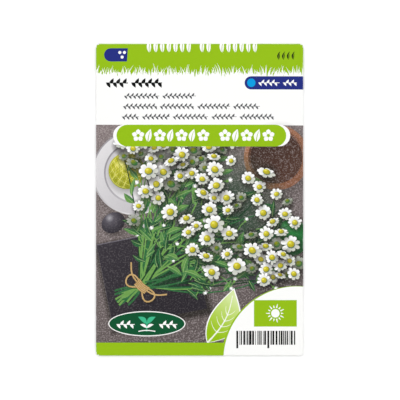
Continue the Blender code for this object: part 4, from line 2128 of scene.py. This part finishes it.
    def plaque(self) -> None:
        """A plain dark green oval with a young plant on it."""
        x, y = self.plaque_middle
        self.art.flat(ellipse(x, y, 20.1, 6.6, count=64), Ink.PAPER)
        self.art.flat(ellipse(x, y, 19.6, 6.1, count=64), Ink.PINE)
        self.art.curve((x, y - 4.0), (x + 0.2, y + 0.6), 0.05, 5, 0.6, Ink.MINT)
        for side in (-1, 1):
            self.art.flat(almond((x, y - 0.2), (x + side * 4.6, y + 3.6), 2.4, 0.12 * side, 0.9, 8),
                          Ink.MINT)
            self.art.flat(almond((x, y - 2.2), (x + side * 3.6, y - 0.4), 1.5, 0.12 * side, 0.9, 8),
                          Ink.PAPER)
            outer, inner = x + side * 15.8, x + side * 6.4
            Twig(min(outer, inner), max(outer, inner), y - 0.4, 4.4, Ink.PAPER, 0.4, 1.7,
                 1.4).draw(self.art)
        self.art.curve((x - 4.4, y - 4.0), (x + 4.4, y - 4.0), 0.06, 9, 0.5, Ink.PAPER)

    def draw(self) -> Artwork:
        """Prints the front.

        Returns:
            The artwork.
        """
        self.header()
        self.title()
        GardenTable(self.art).draw()
        self.art.flat(box(-self.bleed, -90, FOOT_BAND_END, PICTURE_FOOT), Ink.LIME)
        self.leaf_mark()
        self.corner()
        self.plaque()
        self.badge()
        for side in (-1, 1):
            for offset in (0.0, 0.45):
                x = side * (self.wear_x + offset)
                FoldWear(60, 3 + int(offset * 10) + side).draw(self.art, (x, -79), (x, 79), 0.3)
        return self.art


@dataclass
class BackPrint:
    """The print of the back, drawn as it is seen from behind, with X to the viewer's right."""

    sheet: FoldedSheet
    art: Artwork = field(default_factory=Artwork)
    marks_x: tuple[float, float, float] = (-38.0, -21.0, -4.0)
    marks_y: float = 31.0

    def marks(self) -> None:
        """Three round signs: sun, rain and a young plant."""
        sun, rain, plant = self.marks_x
        for x, ink in ((sun, Ink.LIME), (rain, Ink.CYAN), (plant, Ink.NAVY)):
            self.art.flat(ellipse(x, self.marks_y, 6.6, 6.6, count=40), ink)
        for ray in range(12):
            ends = np.array([(3.0, 0.0), (5.0, 0.0)])
            line = turned(ends, ray * np.pi / 6, sun, self.marks_y)
            self.art.flat(ribbon(line, [0.8, 0.3]), Ink.PAPER)
        self.art.flat(ellipse(sun, self.marks_y, 2.3, 2.3, count=24), Ink.PAPER)
        for x, y, size in ((rain, 29.6, 2.0), (rain - 2.2, 32.4, 1.2), (rain + 2.1, 33.0, 1.3)):
            turn = np.linspace(0.75 * np.pi, 2.25 * np.pi, 18)
            drop = np.stack([x + size * np.cos(turn), y + size * np.sin(turn)], 1)
            self.art.flat(np.concatenate([drop, [(x, y + 2.3 * size)]]), Ink.PAPER)
        self.art.curve((plant, 26.6), (plant + 0.2, 32.0), 0.06, 5, 0.7, Ink.PAPER)
        for side in (-1, 1):
            tip = (plant + side * 4.3, 34.2)
            self.art.flat(almond((plant, 30.4), tip, 2.3, 0.12 * side, 0.9, 8), Ink.PAPER)
        self.art.curve((-8.4, 26.8), (0.4, 26.8), 0.07, 9, 0.6, Ink.PAPER)

    def calendar(self) -> None:
        """A sowing calendar: twelve columns, three rows, and a bar in each row."""
        left, top, wide, tall = -45.6, 14.0, 7.6, 5.6
        self.art.flat(box(left, top - tall, left + 12 * wide, top), Ink.LIME)
        for row, shade in enumerate((Ink.LIME_PALE, Ink.PAPER, Ink.LIME_PALE)):
            low = top - (row + 2) * tall
            self.art.flat(box(left, low, left + 12 * wide, low + tall), shade)
        for column in range(13):
            x = left + column * wide
            self.art.flat(box(x - 0.12, top - 4 * tall, x + 0.12, top), Ink.GREY)
            if column < 12:
                for dot in range(column % 3 + 1):
                    self.art.flat(ellipse(x + 2.2 + 1.6 * dot, top - tall / 2, 0.5, 0.5, count=12),
                                  Ink.PAPER)
        for row in range(5):
            y = top - row * tall
            self.art.flat(box(left - 0.12, y - 0.12, left + 12 * wide + 0.12, y + 0.12), Ink.GREY)
        for row, (first, last, ink) in enumerate(
            ((2.1, 4.6, Ink.NAVY), (3.2, 6.4, Ink.CYAN), (5.3, 9.7, Ink.PINE))
        ):
            middle = top - (row + 1.5) * tall
            bar = capsule(left + first * wide, middle - 1.4, left + last * wide, middle + 1.4)
            self.art.flat(bar, ink)

    def sowing(self) -> None:
        """A drawing of a row of plants in the ground, from seed to full size."""
        ground = -36.0
        self.art.add(box(-45.6, ground - 7.5, 45.6, ground),
                     Tone(Ink.CLAY, Ink.CLAY_DARK, Blend.LINEAR, (0, ground), (0, -7.5), grain=0.8))
        for number in range(7):
            x = -38.0 + number * 12.6
            tall = 1.5 + 2.6 * number
            self.art.add(ellipse(x, ground - 2.0, 0.9, 0.5, 0.3, 12), Tone(Ink.TWINE))
            if number == 0:
                continue
            self.art.flat(ribbon(arc_line((x, ground - 1.8), (x + 0.3, ground + tall), 0.03, 8),
                            np.linspace(0.8, 0.4, 8)), Ink.LEAF)
            for pair in range(1, min(number, 4) + 1):
                y = ground + tall * pair / (min(number, 4) + 0.2)
                for side in (-1, 1):
                    Leaf((x, y - 0.6), (x + side * (1.6 + 0.55 * number), y + 1.6),
                         1.2 + 0.16 * number, 0.1 * side, 1).draw(self.art)
            if number > 3:
                Blossom(x + 0.3, ground + tall + 1.6, 1.6 + 0.32 * number, 0.4 * number,
                        8).draw(self.art)

    def frame(self) -> None:
        """The header bar, lines of leaves, the empty stamp box and the grass at the foot."""
        self.art.flat(capsule(-46, 42.6, 46, 50.8), Ink.LIME)
        for x in np.linspace(-36, 36, 9):
            self.art.flat(almond((x - 2.1, 45.2), (x + 2.1, 48.2), 2.4, 0.08, 0.85, 8), Ink.PAPER)
        for row in range(4):
            for left, right in ((5.0, 17.0 + row % 2 * 3), (22.0, 33.0), (35.0, 45.5 - row % 3)):
                Twig(left, right, 35.6 - 3.4 * row, 2.3, Ink.GREY, 0.2, 0.9, 0.6).draw(self.art)
        self.art.flat(box(20.0, -67.5, 45.6, -50.0), Ink.GREY)
        self.art.flat(box(20.25, -67.25, 45.35, -50.25), Ink.PAPER)
        for row in range(5):
            Twig(-45.4, -12.0 + (row * 7) % 9, -50.5 - 3.6 * row, 2.3, Ink.GREY, 0.2, 0.9,
                 0.6).draw(self.art)
        self.art.flat(box(-BEYOND_EDGE, -90, BEYOND_EDGE, -74.3), Ink.LIME)
        random = np.random.default_rng(4)
        for x in np.linspace(-56, 56, 150):
            x += random.uniform(-0.4, 0.4)
            lean = random.uniform(-1.8, 1.8)
            line = arc_line((x, -74.6), (x + lean, -72.4 + random.uniform(0, 3.4)), lean * 0.05, 5)
            self.art.flat(ribbon(line, np.linspace(0.8, 0.06, 5)), Ink.LIME)

    def draw(self) -> Artwork:
        """Prints the back, turned to lie on the flat sheet below the front panel.

        Returns:
            The artwork.
        """
        self.frame()
        self.marks()
        self.calendar()
        self.sowing()
        s = self.sheet
        art = self.art.turned_over(s.bottom_y - np.pi * s.bottom_radius / 2)
        low = s.bottom_y - np.pi * s.bottom_radius
        art.flat(box(-BEYOND_EDGE, low, FOOT_BAND_END, s.bottom_y + 1), Ink.LIME)
        art.flat(box(FOOT_BAND_END, low, BEYOND_EDGE, s.bottom_y + 1), Ink.PAPER)
        return art


@dataclass
class ClosingPrint:
    """The print of the closing flap: the front's green, over the fold, and a dashed line."""

    sheet: FoldedSheet

    def draw(self) -> Artwork:
        """Prints the flap as it lies on the flat sheet above the front panel.

        Returns:
            The artwork.
        """
        art = Artwork()
        FrontPrint(art).band()
        line = self.sheet.top_y + 7.5
        for x in np.linspace(-50, 50, 41):
            art.flat(box(x - 0.8, line - 0.15, x + 0.8, line + 0.15), Ink.PAPER)
        return art


@dataclass
class FoldWear:
    """Ink that has cracked off along a fold: short pale strokes of uneven length."""

    strokes: int = 60
    draw_seed: int = 3

    def draw(self, art: Artwork, start: Place, end: Place, width: float) -> None:
        """Prints the strokes from start to end.

        Args:
            art: What it is printed on.
            start, end: The fold's ends.
            width: How far the strokes stray, in all.
        """
        random = np.random.default_rng(self.draw_seed)
        first, last = np.array(start, float), np.array(end, float)
        run = (last - first) / np.hypot(*(last - first))
        aside = np.array([-run[1], run[0]])
        length = np.hypot(*(last - first))
        for at in np.sort(random.random(self.strokes)) * (length - 4):
            reach = random.uniform(0.6, 3.4)
            shift = random.uniform(-0.5, 0.5) * width
            ends = first + run * np.array([[at], [at + reach]]) + aside * shift
            share = random.uniform(0.2, 0.5)
            art.add(ribbon(ends, [0.12, 0.05]), Tone(Ink.PAPER, cover=(share, share)))


def dress(piece: Object, node: str) -> None:
    """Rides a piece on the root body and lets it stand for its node.

    Args:
        piece: The piece.
        node: The node that it stands for.
    """
    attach(piece, "root")
    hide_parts(node)
    LOG.info("placed %s for %s", piece.name, node)


def main() -> None:
    """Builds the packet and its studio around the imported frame."""
    logging.basicConfig(level=logging.INFO, format="%(name)s: %(message)s")
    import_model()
    sheet = FoldedSheet()
    prints = FrontPrint().draw(), BackPrint(sheet).draw(), ClosingPrint(sheet).draw()
    for piece in Envelope(sheet).build(*prints):
        dress(piece, "paper_envelope")
    sachet = Sachet(sheet)
    dress(sachet.build(LaminatedFoil().make()), "foil_sachet")
    dress(LooseSeed(sachet).build(SeedHusk().make()), "seed_heap")
    Studio().build(StudioFloor().make())


if __name__ == "__main__":
    main()
